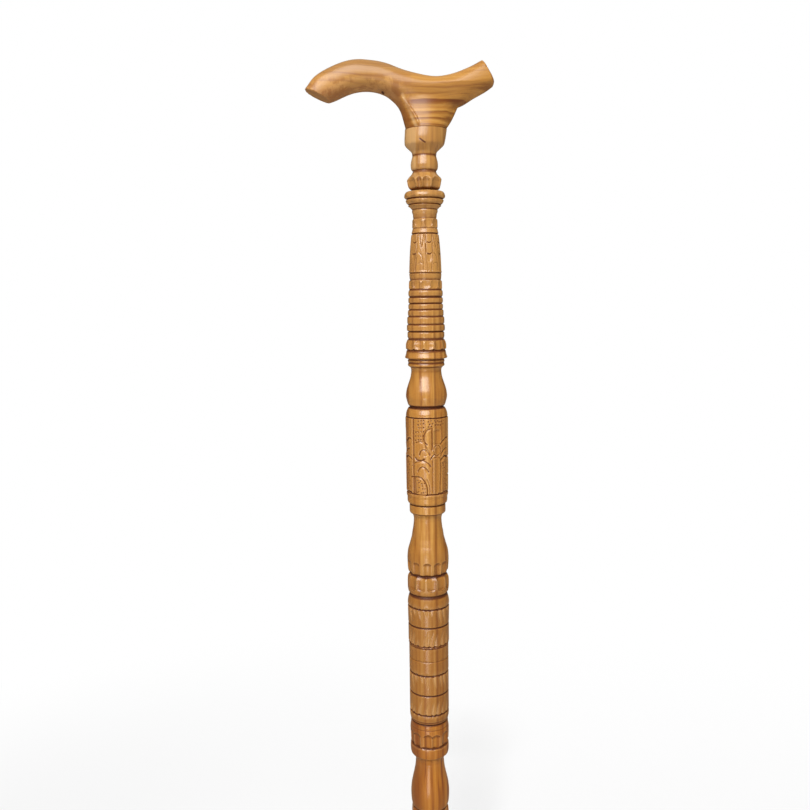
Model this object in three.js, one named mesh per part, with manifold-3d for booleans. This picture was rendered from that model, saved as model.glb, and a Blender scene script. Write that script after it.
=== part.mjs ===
// Carved walking stick with a derby handle, whose shaft unscrews into two halves.
// Millimetres, +Z up. The origin is the middle of the rubber tip's ground face, and the handle's
// nose points to -X. Seen from the front, the viewer looks along +Y.

import * as THREE from 'three';
import { mergeVertices } from 'three/addons/utils/BufferGeometryUtils.js';
import Module from 'manifold-3d';

// Gap kept between two pieces that bear on each other.
const seatGap = 0.3;

// How far a cutting solid runs past the face that it opens.
const cutOverrun = 2;

// Smallest step kept between two rings of one outline.
const edgeEase = 0.4;

// Faces round a turned piece, and steps in a quarter of a round.
const turnedSides = 20;
const quarterSteps = 3;
const ogeeSteps = 5;
const lobeCount = turnedSides / 2;

// Rubber tip: a flared foot under a sleeve that grips the stick.
const tip = {
  footWidth: 36,
  footRise: 8,
  footChamfer: 1.2,
  sleeveWidth: 25,
  flareRise: 14,
  sleeveRise: 10,
  lipWidth: 28,
  lipRise: 5,
  floor: 8,
  treadDepth: 1.5,
  padWidth: 17,
  treadWidth: 23,
};

// Steel disc under the wood, inside the rubber tip.
const disc = { width: 18, thickness: 1.2 };

// Foot of the lower shaft, the part that sits in the rubber tip.
const foot = { width: 19, chamfer: 1 };

// Screw joint at half length: a stud between two brass inserts.
const joint = {
  threadWidth: 10,
  threadEngagement: 20,
  insertWidth: 14,
  insertLength: 21,
  flangeWidth: 17,
  flangeThickness: 1.5,
  tipRoom: 3,
};

// Stud between the collar and the handle.
const handleStud = { width: 8, depthInCollar: 11, depthInHandle: 26 };

// Width and depth of the plain scorched grooves between bands.
const groove = { width: 0.9, depth: 0.7 };

// Lower shaft, from the rubber tip up. Heights are along the stick, widths are diameters.
const longTaper = { rise: 164.95, topWidth: 22.4 };
const ankleBead = { rise: 8, width: 25, waist: 22 };
const lowerRibs = { count: 6, rise: 4.9, width: 23.6, growth: 0.3 };
const lowerTorus = { rise: 6.5, width: 26.2, waist: 22.8 };
const lowerVase = { bellyRise: 9, bellyWidth: 26, neckRise: 23, neckWidth: 19.2, lipRise: 4.6 };
const lowerRing = { rise: 6.5, width: 26, baseWidth: 24.4 };
const lowerArcade = { rise: 13.5, width: 26.6, waist: 25 };
const lowerShoulder = { rise: 5.6, waist: 24.6 };
const lowerBarrel = { width: 26.6, bandCount: 5, bandRise: 13.4 };
const lowerRim = { rise: 7.4, waist: 24.6 };
const lowerFlutes = { rise: 13.4, width: 26.8, waist: 24.8 };
const knobVase = { bellyRise: 9.8, bellyWidth: 27.5, neckRise: 25.1, neckWidth: 20.2, lipRise: 5.1 };
const knobRing = { rise: 8.5, width: 27.3, baseWidth: 25.4, waist: 26.6 };
const knobArcade = { rise: 13.7, width: 27.6, waist: 26.6 };
const jointFace = { rise: 3.6, width: 25.3 };

// Upper shaft, from the screw joint up.
const jointShoulder = { rise: 5.3, rimRise: 1.35 };
const slimBarrel = { width: 27.7, bandRises: [14.65, 14.6, 10.2, 8.6] };
const fullBarrel = { stepRise: 1.4, lowWidth: 28.5, lowRise: 13.85, highWidth: 29, highRise: 12.3 };
const barrelRim = { rise: 8.45, waist: 26.4 };
const flutedBead = { rise: 14.35, width: 28.9, waist: 26.4 };
const vase = { bellyRise: 10.4, bellyWidth: 28.7, neckRise: 27.9, neckWidth: 19.1, lipRise: 4.5 };
const vaseRing = { rise: 5.85, width: 24.8 };
const plinth = { stepRise: 2.5, rise: 2.6, width: 27.5 };
const panel = { stepRise: 3.1, rise: 51.5, baseWidth: 28.6, topWidth: 29 };
const panelCap = { rise: 6.25, width: 28.3, waist: 24.6 };
const bulb = { bellyRise: 7.3, bellyWidth: 27.9, neckRise: 17.2, neckWidth: 20.3, lipRise: 2.4 };
const smallTorus = { rise: 4.45, width: 24, waist: 22.6 };
const deepGroove = { rise: 1.5, width: 20.8 };
const torus = { rise: 5.55, width: 27.4, waist: 24.4 };
const scallops = { rise: 7.2, width: 27.5, waist: 26 };
const rib = {
  rises: [5.1, 4.8, 5.2, 4.5, 4, 4.2],
  widths: [24.8, 25.5, 24.9, 23.9, 23.2, 23.1],
  waistDepth: 0.75,
};
const neckRing = { rise: 4.9, width: 23, waist: 21.8 };
const neckScallops = { rise: 6.4, width: 22.3, waist: 20.8 };
const neckBand = { rise: 4.05, width: 21.4 };
const leafCone = { rise: 24.6, baseWidth: 21.7, topWidth: 18.2, bow: 0.5 };
const slimBand = { rise: 3.2, topWidth: 16.7 };
const slimScallops = { rise: 6.35, width: 16.9, waist: 15.6 };
const throat = { rise: 5.7, width: 15.9 };
const cup = {
  footRise: 2.65,
  footWidth: 20.5,
  midRise: 2.7,
  midWidth: 24,
  flareRise: 3.3,
  lipRise: 1.2,
  lipWidth: 26.3,
  waist: 20.9,
};
const crown = { bellyRise: 5.9, width: 22.8, closeRise: 6.8, waist: 15.4 };
const pearBead = { bellyRise: 3.7, width: 17.9, closeRise: 8.3, topWidth: 15 };
const collar = {
  baseWidth: 16.4,
  chamferRise: 3.6,
  chamferWidth: 23.8,
  hipRise: 4.7,
  rise: 14.3,
  width: 26.3,
  flare: 1,
  lean: 1.2,
};

// Depth of the hollows between the lobes of carved beads.
const lobe = { crownDepth: 1.3, beadDepth: 0.8, scallopDepth: 0.7, archDepth: 0.6 };

// Handle: a grip from nose to tail, and a stem that flares from the collar into it.
const handle = { length: 122.7, rise: 43.1, gripWidth: 24.5, stemReach: 30.8 };
const gripSides = 20;

// Grip stations from nose to tail. Each is the upper and the lower point of a slanted section as
// shares of the length from the stick's axis and of the handle's rise, then its share of the width.
const gripShares = [
  { top: [-0.626, 0.587], base: [-0.497, 0.416], width: 0.84 },
  { top: [-0.568, 0.769], base: [-0.463, 0.446], width: 0.88 },
  { top: [-0.484, 0.898], base: [-0.412, 0.511], width: 0.94 },
  { top: [-0.391, 0.983], base: [-0.363, 0.557], width: 1 },
  { top: [-0.297, 0.993], base: [-0.301, 0.574], width: 1.02 },
  { top: [-0.203, 0.95], base: [-0.235, 0.542], width: 1.03 },
  { top: [-0.103, 0.845], base: [-0.156, 0.45], width: 1.04 },
  { top: [0, 0.771], base: [-0.016, 0.342], width: 1.04 },
  { top: [0.074, 0.749], base: [0.078, 0.307], width: 1.03 },
  { top: [0.156, 0.79], base: [0.182, 0.323], width: 1 },
  { top: [0.236, 0.87], base: [0.267, 0.453], width: 0.95 },
  { top: [0.288, 0.941], base: [0.332, 0.554], width: 0.9 },
  { top: [0.313, 0.979], base: [0.372, 0.636], width: 0.86 },
];

// Stem rings from the collar up: height as a share of the handle's rise, then the left and right
// reach and the half depth as shares of the stem's reach.
const stemShares = [
  { height: 0.097, left: 0.425, right: 0.565, depth: 0.43 },
  { height: 0.232, left: 0.48, right: 0.665, depth: 0.424 },
  { height: 0.348, left: 0.57, right: 0.73, depth: 0.414 },
  { height: 0.429, left: 0.69, right: 0.755, depth: 0.395 },
  { height: 0.491, left: 0.8, right: 0.75, depth: 0.37 },
  { height: 0.537, left: 0.92, right: 0.71, depth: 0.335 },
  { height: 0.583, left: 0.96, right: 0.65, depth: 0.29 },
];
const gripSquareness = 2.5;

const colours = {
  handleWood: 0xc08a4e,
  upperWood: 0xb98248,
  lowerWood: 0xa0642c,
  steel: 0xb9bcc0,
  brass: 0xc59a4a,
  rubber: 0x26241f,
};

const wasm = await Module();
wasm.setup();

// Closed mesh with shared corners, without needle faces, whose faces point out.
function weld(source) {
  const bare = source.clone();
  bare.deleteAttribute('normal');
  bare.deleteAttribute('uv');
  const merged = mergeVertices(bare);
  const { index } = merged;
  const place = merged.attributes.position;
  const kept = [];
  let volume = 0;
  const corner = [new THREE.Vector3(), new THREE.Vector3(), new THREE.Vector3()];
  for (let i = 0; i < index.count; i += 3) {
    const ids = [index.getX(i), index.getX(i + 1), index.getX(i + 2)];
    if (ids[0] === ids[1] || ids[1] === ids[2] || ids[2] === ids[0]) continue;
    kept.push(ids);
    ids.forEach((id, n) => corner[n].fromBufferAttribute(place, id));
    volume += corner[0].dot(corner[1].cross(corner[2]));
  }
  const order = volume > 0 ? kept : kept.map(([a, b, c]) => [a, c, b]);
  merged.setIndex(order.flat());
  return merged;
}

// Exact solid of a closed mesh, for joining and cutting.
function solid(geometry) {
  const closed = weld(geometry);
  const vertProperties = new Float32Array(closed.attributes.position.array);
  const triVerts = new Uint32Array(closed.index.array);
  return new wasm.Manifold(new wasm.Mesh({ numProp: 3, vertProperties, triVerts }));
}

function geometryOf(body) {
  const mesh = body.getMesh();
  const geometry = new THREE.BufferGeometry();
  geometry.setAttribute('position', new THREE.BufferAttribute(new Float32Array(mesh.vertProperties), 3));
  geometry.setIndex(new THREE.BufferAttribute(new Uint32Array(mesh.triVerts), 1));
  return geometry;
}

// Half outline of a turned piece, drawn upwards step by step. A point can carry the depth of the
// hollows that are gouged between lobes at its height.
class Outline {
  constructor(width, z) {
    this.points = [{ radius: width / 2, z, hollow: 0 }];
  }

  get end() {
    return this.points[this.points.length - 1];
  }

  to(radius, z, hollow = 0) {
    this.points.push({ radius, z, hollow });
    return this;
  }

  // Straight run to a width.
  line(rise, width) {
    return this.to(width / 2, this.end.z + rise);
  }

  // Curve to a width, whose radius and height follow two given shares of the way. The depth of the
  // hollows between its lobes grows along an outward curve and fades along an inward one.
  sweep(rise, width, radiusShare, heightShare, depth, steps) {
    const { radius, z } = this.end;
    const outward = width / 2 > radius;
    for (let i = 1; i <= steps; i += 1) {
      const share = i / steps;
      const angle = share * (Math.PI / 2);
      const hollow = depth * (outward ? share : 1 - share);
      this.to(radius + (width / 2 - radius) * radiusShare(angle), z + rise * heightShare(angle), hollow);
    }
    return this;
  }

  // Quarter round that leaves square to the axis and arrives along it.
  swell(rise, width, depth = 0) {
    return this.sweep(rise, width, Math.sin, (a) => 1 - Math.cos(a), depth, quarterSteps);
  }

  // Quarter round that leaves along the axis and arrives square to it.
  close(rise, width, depth = 0) {
    return this.sweep(rise, width, (a) => 1 - Math.cos(a), Math.sin, depth, quarterSteps);
  }

  // S-shaped curve that leaves and arrives along the axis.
  ogee(rise, width, depth = 0) {
    return this.sweep(rise, width, (a) => Math.sin(a) ** 2, (a) => a / (Math.PI / 2), depth, ogeeSteps);
  }

  // Round bead up to a waist, optionally with lobes round it.
  bead(rise, width, waist, depth = 0) {
    return this.swell(rise / 2, width, depth).close(rise / 2, waist, depth);
  }

  // Scorched V groove in a straight wall.
  notch() {
    const { radius } = this.end;
    this.line(groove.width / 2, 2 * (radius - groove.depth));
    return this.line(groove.width / 2, 2 * radius);
  }

  // Run of bands with a groove above each one but the last, which may have a width of its own.
  bands(rises, width, lastWidth = width) {
    rises.forEach((rise, i) => {
      const last = i === rises.length - 1;
      this.line(last ? rise : rise - groove.width, last ? lastWidth : width);
      if (!last) this.notch();
    });
    return this;
  }

  // Flat rib with a narrow waist above it.
  rib(rise, width, waistDepth) {
    return this.line(groove.width / 2, width)
      .line(rise - groove.width, width)
      .line(groove.width / 2, width - 2 * waistDepth);
  }

  // Vase that rises over its belly to a slim neck under a lip.
  vase(shape, lipWidth, depth = 0) {
    return this.swell(shape.bellyRise, shape.bellyWidth, depth)
      .ogee(shape.neckRise, shape.neckWidth)
      .close(shape.lipRise, lipWidth);
  }
}

// Solid of revolution about Z from a closed outline, with its lobes gouged in.
function turned(points, sides = turnedSides) {
  const profile = points.map(({ radius, z }) => new THREE.Vector2(radius, z));
  const lathe = new THREE.LatheGeometry(profile, sides);
  const place = lathe.attributes.position;
  for (let side = 0; side <= sides; side += 1) {
    const between = (1 - Math.cos((2 * Math.PI * lobeCount * side) / sides)) / 2;
    points.forEach(({ radius, hollow = 0 }, n) => {
      if (!hollow) return;
      const id = side * points.length + n;
      const scale = 1 - (hollow * between) / radius;
      place.setX(id, place.getX(id) * scale);
      place.setZ(id, place.getZ(id) * scale);
    });
  }
  return weld(lathe.rotateX(Math.PI / 2));
}

// Plain round bar between two heights.
function bar(width, low, high) {
  return turned([
    { radius: 0, z: low },
    { radius: width / 2, z: low },
    { radius: width / 2, z: high },
    { radius: 0, z: high },
  ]);
}

// Closed skin over rings of equally many points, with a fan at each end.
function loft(rings) {
  const sides = rings[0].length;
  const points = rings.flat();
  const middle = (ring) => ring.reduce((sum, p) => sum.add(p), new THREE.Vector3()).divideScalar(sides);
  const index = [];
  for (let r = 0; r + 1 < rings.length; r += 1) {
    for (let s = 0; s < sides; s += 1) {
      const a = r * sides + s;
      const b = r * sides + ((s + 1) % sides);
      index.push(a, b, b + sides, a, b + sides, a + sides);
    }
  }
  [0, rings.length - 1].forEach((r) => {
    const hub = points.push(middle(rings[r])) - 1;
    for (let s = 0; s < sides; s += 1) {
      const a = r * sides + s;
      const b = r * sides + ((s + 1) % sides);
      index.push(...(r ? [hub, a, b] : [hub, b, a]));
    }
  });
  const geometry = new THREE.BufferGeometry().setFromPoints(points);
  geometry.setIndex(index);
  return weld(geometry);
}

// Ring of a rounded square section: a centre, two half axes as vectors and a squareness.
function sectionRing(centre, along, across, squareness, sides) {
  const soften = (value) => Math.sign(value) * Math.abs(value) ** (2 / squareness);
  return Array.from({ length: sides }, (_, i) => {
    const angle = (i / sides) * 2 * Math.PI;
    return centre.clone()
      .addScaledVector(along, soften(Math.cos(angle)))
      .addScaledVector(across, soften(Math.sin(angle)));
  });
}

// Heights that follow from the pieces below one another.
const discBase = tip.floor + seatGap;
const discTop = discBase + disc.thickness;
const footBase = discTop + seatGap;
const tipTop = tip.footRise + tip.flareRise + tip.sleeveRise + tip.lipRise;
const insertBore = joint.threadWidth + 2 * seatGap;

function ferruleShape() {
  const bore = foot.width + 2 * seatGap;
  const tread = [
    { radius: 0, z: 0 },
    { radius: tip.padWidth / 2, z: 0 },
    { radius: tip.padWidth / 2, z: tip.treadDepth },
    { radius: tip.treadWidth / 2, z: tip.treadDepth },
    { radius: tip.treadWidth / 2, z: 0 },
    { radius: tip.footWidth / 2 - tip.footChamfer, z: 0 },
  ];
  const side = new Outline(tip.footWidth, tip.footChamfer)
    .line(tip.footRise - 2 * tip.footChamfer, tip.footWidth)
    .line(tip.footChamfer, tip.footWidth - 2 * tip.footChamfer)
    .ogee(tip.flareRise, tip.sleeveWidth)
    .line(tip.sleeveRise, tip.sleeveWidth)
    .bead(tip.lipRise, tip.lipWidth, tip.sleeveWidth);
  const inside = [
    { radius: bore / 2, z: tipTop },
    { radius: bore / 2, z: tip.floor },
    { radius: 0, z: tip.floor },
  ];
  return turned([...tread, ...side.points, ...inside]);
}

// Outer outline of the lower shaft, from its foot to the joint face.
function lowerOutline() {
  const footTop = tipTop + seatGap;
  const line = new Outline(foot.width - 2 * foot.chamfer, footBase)
    .line(foot.chamfer, foot.width)
    .line(footTop - footBase - foot.chamfer, foot.width)
    .line(longTaper.rise, longTaper.topWidth)
    .bead(ankleBead.rise, ankleBead.width, ankleBead.waist);
  for (let i = 0; i < lowerRibs.count; i += 1) {
    line.rib(lowerRibs.rise, lowerRibs.width + i * lowerRibs.growth, groove.depth);
  }
  return line.bead(lowerTorus.rise, lowerTorus.width, lowerTorus.waist)
    .vase(lowerVase, lowerRing.baseWidth)
    .bead(lowerRing.rise, lowerRing.width, lowerArcade.waist)
    .bead(lowerArcade.rise, lowerArcade.width, lowerArcade.waist, lobe.beadDepth)
    .line(edgeEase, lowerShoulder.waist)
    .swell(lowerShoulder.rise, lowerBarrel.width)
    .notch()
    .bands(Array(lowerBarrel.bandCount).fill(lowerBarrel.bandRise), lowerBarrel.width)
    .notch()
    .close(lowerRim.rise, lowerRim.waist)
    .bead(lowerFlutes.rise, lowerFlutes.width, lowerFlutes.waist, lobe.beadDepth)
    .vase(knobVase, knobRing.baseWidth, lobe.archDepth)
    .bead(knobRing.rise, knobRing.width, knobRing.waist)
    .bead(knobArcade.rise, knobArcade.width, knobArcade.waist, lobe.beadDepth)
    .close(jointFace.rise, jointFace.width);
}

// Outer outline of the upper shaft, from the joint face to the seam under the handle.
function upperOutline(base) {
  const line = new Outline(jointFace.width, base)
    .swell(jointShoulder.rise, slimBarrel.width)
    .line(jointShoulder.rimRise, slimBarrel.width)
    .notch()
    .bands(slimBarrel.bandRises, slimBarrel.width)
    .line(fullBarrel.stepRise, fullBarrel.lowWidth)
    .notch()
    .bands([fullBarrel.lowRise, fullBarrel.highRise], fullBarrel.lowWidth, fullBarrel.highWidth)
    .notch()
    .close(barrelRim.rise, barrelRim.waist)
    .bead(flutedBead.rise, flutedBead.width, flutedBead.waist, lobe.beadDepth)
    .vase(vase, vaseRing.width, lobe.archDepth)
    .line(vaseRing.rise, vaseRing.width)
    .notch()
    .swell(plinth.stepRise, plinth.width)
    .line(plinth.rise, plinth.width)
    .swell(panel.stepRise, panel.baseWidth)
    .line(panel.rise, panel.topWidth)
    .notch()
    .line(edgeEase, panelCap.width)
    .close(panelCap.rise - edgeEase, panelCap.waist)
    .swell(bulb.bellyRise, bulb.bellyWidth)
    .ogee(bulb.neckRise, bulb.neckWidth)
    .close(bulb.lipRise, smallTorus.waist)
    .bead(smallTorus.rise, smallTorus.width, smallTorus.waist)
    .line(edgeEase, deepGroove.width)
    .line(deepGroove.rise - 2 * edgeEase, deepGroove.width)
    .line(edgeEase, torus.waist)
    .bead(torus.rise, torus.width, scallops.waist)
    .bead(scallops.rise, scallops.width, rib.widths[0], lobe.scallopDepth);
  rib.widths.forEach((width, i) => line.rib(rib.rises[i], width, rib.waistDepth));
  return line.bead(neckRing.rise, neckRing.width, neckRing.waist)
    .bead(neckScallops.rise, neckScallops.width, neckScallops.waist, lobe.scallopDepth)
    .line(neckBand.rise, neckBand.width)
    .notch()
    .line(leafCone.rise / 2, (leafCone.baseWidth + leafCone.topWidth) / 2 + leafCone.bow)
    .line(leafCone.rise / 2, leafCone.topWidth)
    .notch()
    .line(slimBand.rise, slimBand.topWidth)
    .bead(slimScallops.rise, slimScallops.width, slimScallops.waist, lobe.scallopDepth)
    .line(throat.rise, throat.width)
    .line(cup.footRise, cup.footWidth)
    .notch()
    .line(cup.midRise, cup.midWidth)
    .notch()
    .swell(cup.flareRise, cup.lipWidth)
    .line(cup.lipRise, cup.lipWidth)
    .line(edgeEase, cup.waist)
    .swell(crown.bellyRise, crown.width, lobe.crownDepth)
    .ogee(crown.closeRise, crown.waist, lobe.crownDepth)
    .swell(pearBead.bellyRise, pearBead.width)
    .ogee(pearBead.closeRise, pearBead.topWidth)
    .line(edgeEase, collar.baseWidth)
    .line(collar.chamferRise, collar.chamferWidth)
    .swell(collar.hipRise, collar.width)
    .line(collar.rise - collar.chamferRise - collar.hipRise - edgeEase, collar.width);
}

// Outline of a stepped blind hole from its mouth to the axis. The sense is 1 where it goes up.
function holeLine(steps, mouth, sense) {
  const points = steps.flatMap(({ width, from, depth }) => [
    { radius: width / 2, z: mouth + sense * from },
    { radius: width / 2, z: mouth + sense * depth },
  ]);
  points.push({ radius: 0, z: mouth + sense * (steps.length ? steps[steps.length - 1].depth : 0) });
  return points;
}

// Turned wood from its outer outline, with a hole in its lower and its upper end.
function drilled(outline, lowHole, highHole) {
  const low = holeLine(lowHole, outline[0].z, 1);
  const high = holeLine(highHole, outline[outline.length - 1].z, -1);
  return turned([...low.reverse(), ...outline, ...high]);
}

// Stepped hole for a brass insert: flange recess, body, then room for the stud's tip.
function insertHole() {
  const flangeDepth = joint.flangeThickness + seatGap;
  const bodyDepth = seatGap + joint.insertLength + seatGap;
  const tipDepth = bodyDepth + joint.tipRoom;
  return [
    { width: joint.flangeWidth + 2 * seatGap, from: 0, depth: flangeDepth },
    { width: joint.insertWidth + 2 * seatGap, from: flangeDepth, depth: bodyDepth },
    { width: insertBore, from: bodyDepth, depth: tipDepth },
  ];
}

// Brass insert with a flange at one end. The sense is 1 where it reaches up from its flange, and
// -1 where it reaches down.
function insertShape(flangeFace, sense) {
  const collarEnd = flangeFace + sense * joint.flangeThickness;
  const farEnd = flangeFace + sense * joint.insertLength;
  return turned([
    { radius: insertBore / 2, z: flangeFace },
    { radius: joint.flangeWidth / 2, z: flangeFace },
    { radius: joint.flangeWidth / 2, z: collarEnd },
    { radius: joint.insertWidth / 2, z: collarEnd },
    { radius: joint.insertWidth / 2, z: farEnd },
    { radius: insertBore / 2, z: farEnd },
    { radius: insertBore / 2, z: flangeFace },
  ]);
}

// Round bar with a small chamfer at both ends.
function studShape(width, low, high) {
  return turned([
    { radius: 0, z: low },
    { radius: width / 2 - edgeEase, z: low },
    { radius: width / 2, z: low + edgeEase },
    { radius: width / 2, z: high - edgeEase },
    { radius: width / 2 - edgeEase, z: high },
    { radius: 0, z: high },
  ]);
}

const lowerLine = lowerOutline();
const lowerFace = lowerLine.end.z;
const upperFace = lowerFace + seatGap;
const upperLine = upperOutline(upperFace);
const seam = upperLine.end.z;
const handleBase = seam + seatGap;

// The collar leans and widens a little towards its seam, where it was carved with the handle.
function leanCollar(geometry) {
  const place = geometry.attributes.position;
  const start = seam - collar.rise + collar.chamferRise;
  for (let i = 0; i < place.count; i += 1) {
    const x = place.getX(i);
    const reach = Math.hypot(x, place.getY(i));
    const share = Math.max(0, (place.getZ(i) - start) / (seam - start));
    if (reach < collar.width / 2 - edgeEase) continue;
    place.setX(i, x * (1 + (share * collar.flare) / collar.width) + share * collar.lean);
  }
  return geometry;
}

function upperShaftShape() {
  const studHole = {
    width: handleStud.width + 2 * seatGap,
    from: 0,
    depth: handleStud.depthInCollar + seatGap,
  };
  return leanCollar(drilled(upperLine.points, insertHole(), [studHole]));
}

function lowerShaftShape() {
  return drilled(lowerLine.points, [], insertHole());
}

// Grip of the handle, lofted through its stations along a smooth curve.
function gripShape() {
  const place = ([x, z]) => new THREE.Vector3(x * handle.length, 0, handleBase + z * handle.rise);
  const tops = new THREE.CatmullRomCurve3(gripShares.map(({ top }) => place(top)));
  const bases = new THREE.CatmullRomCurve3(gripShares.map(({ base }) => place(base)));
  const widths = new THREE.CatmullRomCurve3(gripShares.map(({ width }) => new THREE.Vector3(width, 0, 0)));
  const steps = 2 * (gripShares.length - 1);
  const rings = Array.from({ length: steps + 1 }, (_, i) => {
    const top = tops.getPoint(i / steps);
    const base = bases.getPoint(i / steps);
    const across = new THREE.Vector3(0, (widths.getPoint(i / steps).x * handle.gripWidth) / 2, 0);
    const centre = top.clone().add(base).multiplyScalar(0.5);
    return sectionRing(centre, top.sub(centre), across, gripSquareness, gripSides);
  });
  return loft(rings);
}

// Stem that flares from the collar's outline into the underside of the grip.
function stemShape() {
  const seamHalf = (collar.width + collar.flare) / 2;
  const ring = (height, left, right, depth) => {
    const centre = new THREE.Vector3((right - left) / 2, 0, handleBase + height);
    const along = new THREE.Vector3((left + right) / 2, 0, 0);
    return sectionRing(centre, along, new THREE.Vector3(0, depth, 0), 2, turnedSides);
  };
  const reach = handle.stemReach;
  const rings = stemShares.map(({ height, left, right, depth }) => (
    ring(height * handle.rise, left * reach, right * reach, depth * reach)));
  rings.unshift(ring(0, seamHalf - collar.lean, seamHalf + collar.lean, collar.width / 2));
  return loft(rings);
}

function handleShape() {
  const holeDepth = handleStud.depthInHandle + seatGap;
  const hole = bar(handleStud.width + 2 * seatGap, handleBase - cutOverrun, handleBase + holeDepth);
  return weld(geometryOf(solid(gripShape()).add(solid(stemShape())).subtract(solid(hole))));
}

function material(color, roughness, metalness = 0) {
  return new THREE.MeshStandardMaterial({ color, roughness, metalness });
}

const stick = new THREE.Group();

function add(name, geometry, finish) {
  const mesh = new THREE.Mesh(geometry, finish);
  mesh.name = name;
  stick.add(mesh);
}

const steel = material(colours.steel, 0.35, 1);
const brass = material(colours.brass, 0.4, 1);
const jointStud = studShape(
  joint.threadWidth,
  lowerFace - joint.threadEngagement,
  upperFace + joint.threadEngagement,
);
const handleScrew = studShape(
  handleStud.width,
  seam - handleStud.depthInCollar,
  handleBase + handleStud.depthInHandle,
);

add('ferrule', ferruleShape(), material(colours.rubber, 0.8));
add('ferrule_disc', bar(disc.width, discBase, discTop), steel);
add('lower_shaft', lowerShaftShape(), material(colours.lowerWood, 0.3));
add('lower_insert', insertShape(lowerFace - seatGap, -1), brass);
add('joint_stud', jointStud, steel);
add('upper_insert', insertShape(upperFace + seatGap, 1), brass);
add('upper_shaft', upperShaftShape(), material(colours.upperWood, 0.3));
add('handle_stud', handleScrew, steel);
add('handle', handleShape(), material(colours.handleWood, 0.3));

export default stick;
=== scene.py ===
"""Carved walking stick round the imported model: two turned and carved shafts, a derby handle,
a rubber tip and the metal of its hidden screw joint.

The file is laid out as an add-on and run as a script. main() registers the classes and calls the
operators in order. Lengths are in mm, and in m in the materials and the settings.
"""

import math

import bmesh
import bpy
import numpy as np
from bpy.props import FloatProperty, FloatVectorProperty, IntProperty, PointerProperty
from mathutils import Matrix, Vector


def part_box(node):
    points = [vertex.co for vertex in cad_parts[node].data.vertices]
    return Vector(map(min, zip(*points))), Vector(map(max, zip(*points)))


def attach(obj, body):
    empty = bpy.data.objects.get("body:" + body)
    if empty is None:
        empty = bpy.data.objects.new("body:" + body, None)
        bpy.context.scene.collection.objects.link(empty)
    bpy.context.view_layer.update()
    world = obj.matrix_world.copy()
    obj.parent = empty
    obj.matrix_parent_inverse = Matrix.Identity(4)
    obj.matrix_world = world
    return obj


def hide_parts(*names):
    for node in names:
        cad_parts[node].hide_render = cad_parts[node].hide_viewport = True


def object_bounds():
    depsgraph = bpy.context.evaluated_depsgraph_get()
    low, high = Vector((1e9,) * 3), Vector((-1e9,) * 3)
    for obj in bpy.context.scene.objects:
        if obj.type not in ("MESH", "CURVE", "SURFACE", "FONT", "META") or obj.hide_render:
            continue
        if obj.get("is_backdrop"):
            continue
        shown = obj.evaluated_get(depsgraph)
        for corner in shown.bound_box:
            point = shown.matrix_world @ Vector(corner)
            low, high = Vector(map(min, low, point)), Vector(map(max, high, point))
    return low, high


bl_info = {
    "name": "Carved walking stick",
    "version": (1, 0, 0),
    "blender": (4, 5, 0),
    "location": "View3D > Sidebar > Walking stick",
    "description": "Builds a turned and carved walking stick with a derby handle",
    "category": "Object",
}

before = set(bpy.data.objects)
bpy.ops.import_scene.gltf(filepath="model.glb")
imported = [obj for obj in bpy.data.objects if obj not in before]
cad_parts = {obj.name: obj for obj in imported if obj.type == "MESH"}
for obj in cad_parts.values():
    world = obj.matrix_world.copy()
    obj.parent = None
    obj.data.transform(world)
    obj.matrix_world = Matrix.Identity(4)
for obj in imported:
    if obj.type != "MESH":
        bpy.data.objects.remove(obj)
cad_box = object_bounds()

MM = 0.001

# Bands that are carved or plain: from and to, in mm up from the joint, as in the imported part.
UPPER_BANDS = {
    "band_1": (7.55, 21.3), "band_2": (22.2, 35.9), "band_3": (36.8, 46.1), "band_4": (47, 55.6),
    "band_5": (57.9, 70.85), "band_6": (71.75, 84.05), "barrel_rim": (84.95, 93.4),
    "fluted_bead": (93.4, 107.75), "vase": (107.75, 150.55), "panel": (165.5, 217),
    "bulb": (224.15, 251.05), "scallops": (262.55, 269.75), "neck_scallops": (302.45, 308.85),
    "leaf_cone": (313.8, 338.4), "slim_scallops": (342.5, 348.85), "throat": (348.85, 354.55),
    "crown": (366.6, 379.3), "pear": (379.3, 391.3), "collar": (391.3, 405.6),
}
# The same down from the joint.
LOWER_BANDS = {
    "knob_arcade": (3.6, 17.3), "knob_vase": (25.8, 65.8), "knob_flutes": (65.8, 79.2),
    "band_1": (87.5, 100.9), "band_2": (101.8, 114.3), "band_3": (115.2, 127.7),
    "band_4": (128.6, 141.1), "band_5": (142, 154.5), "shoulder": (155.4, 161.4),
    "arcade": (161.4, 174.9), "vase": (181.4, 218), "taper": (261.9, 426.85),
    "foot": (426.85, 454.35),
}
BAND_SLACK = 0.2

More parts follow.
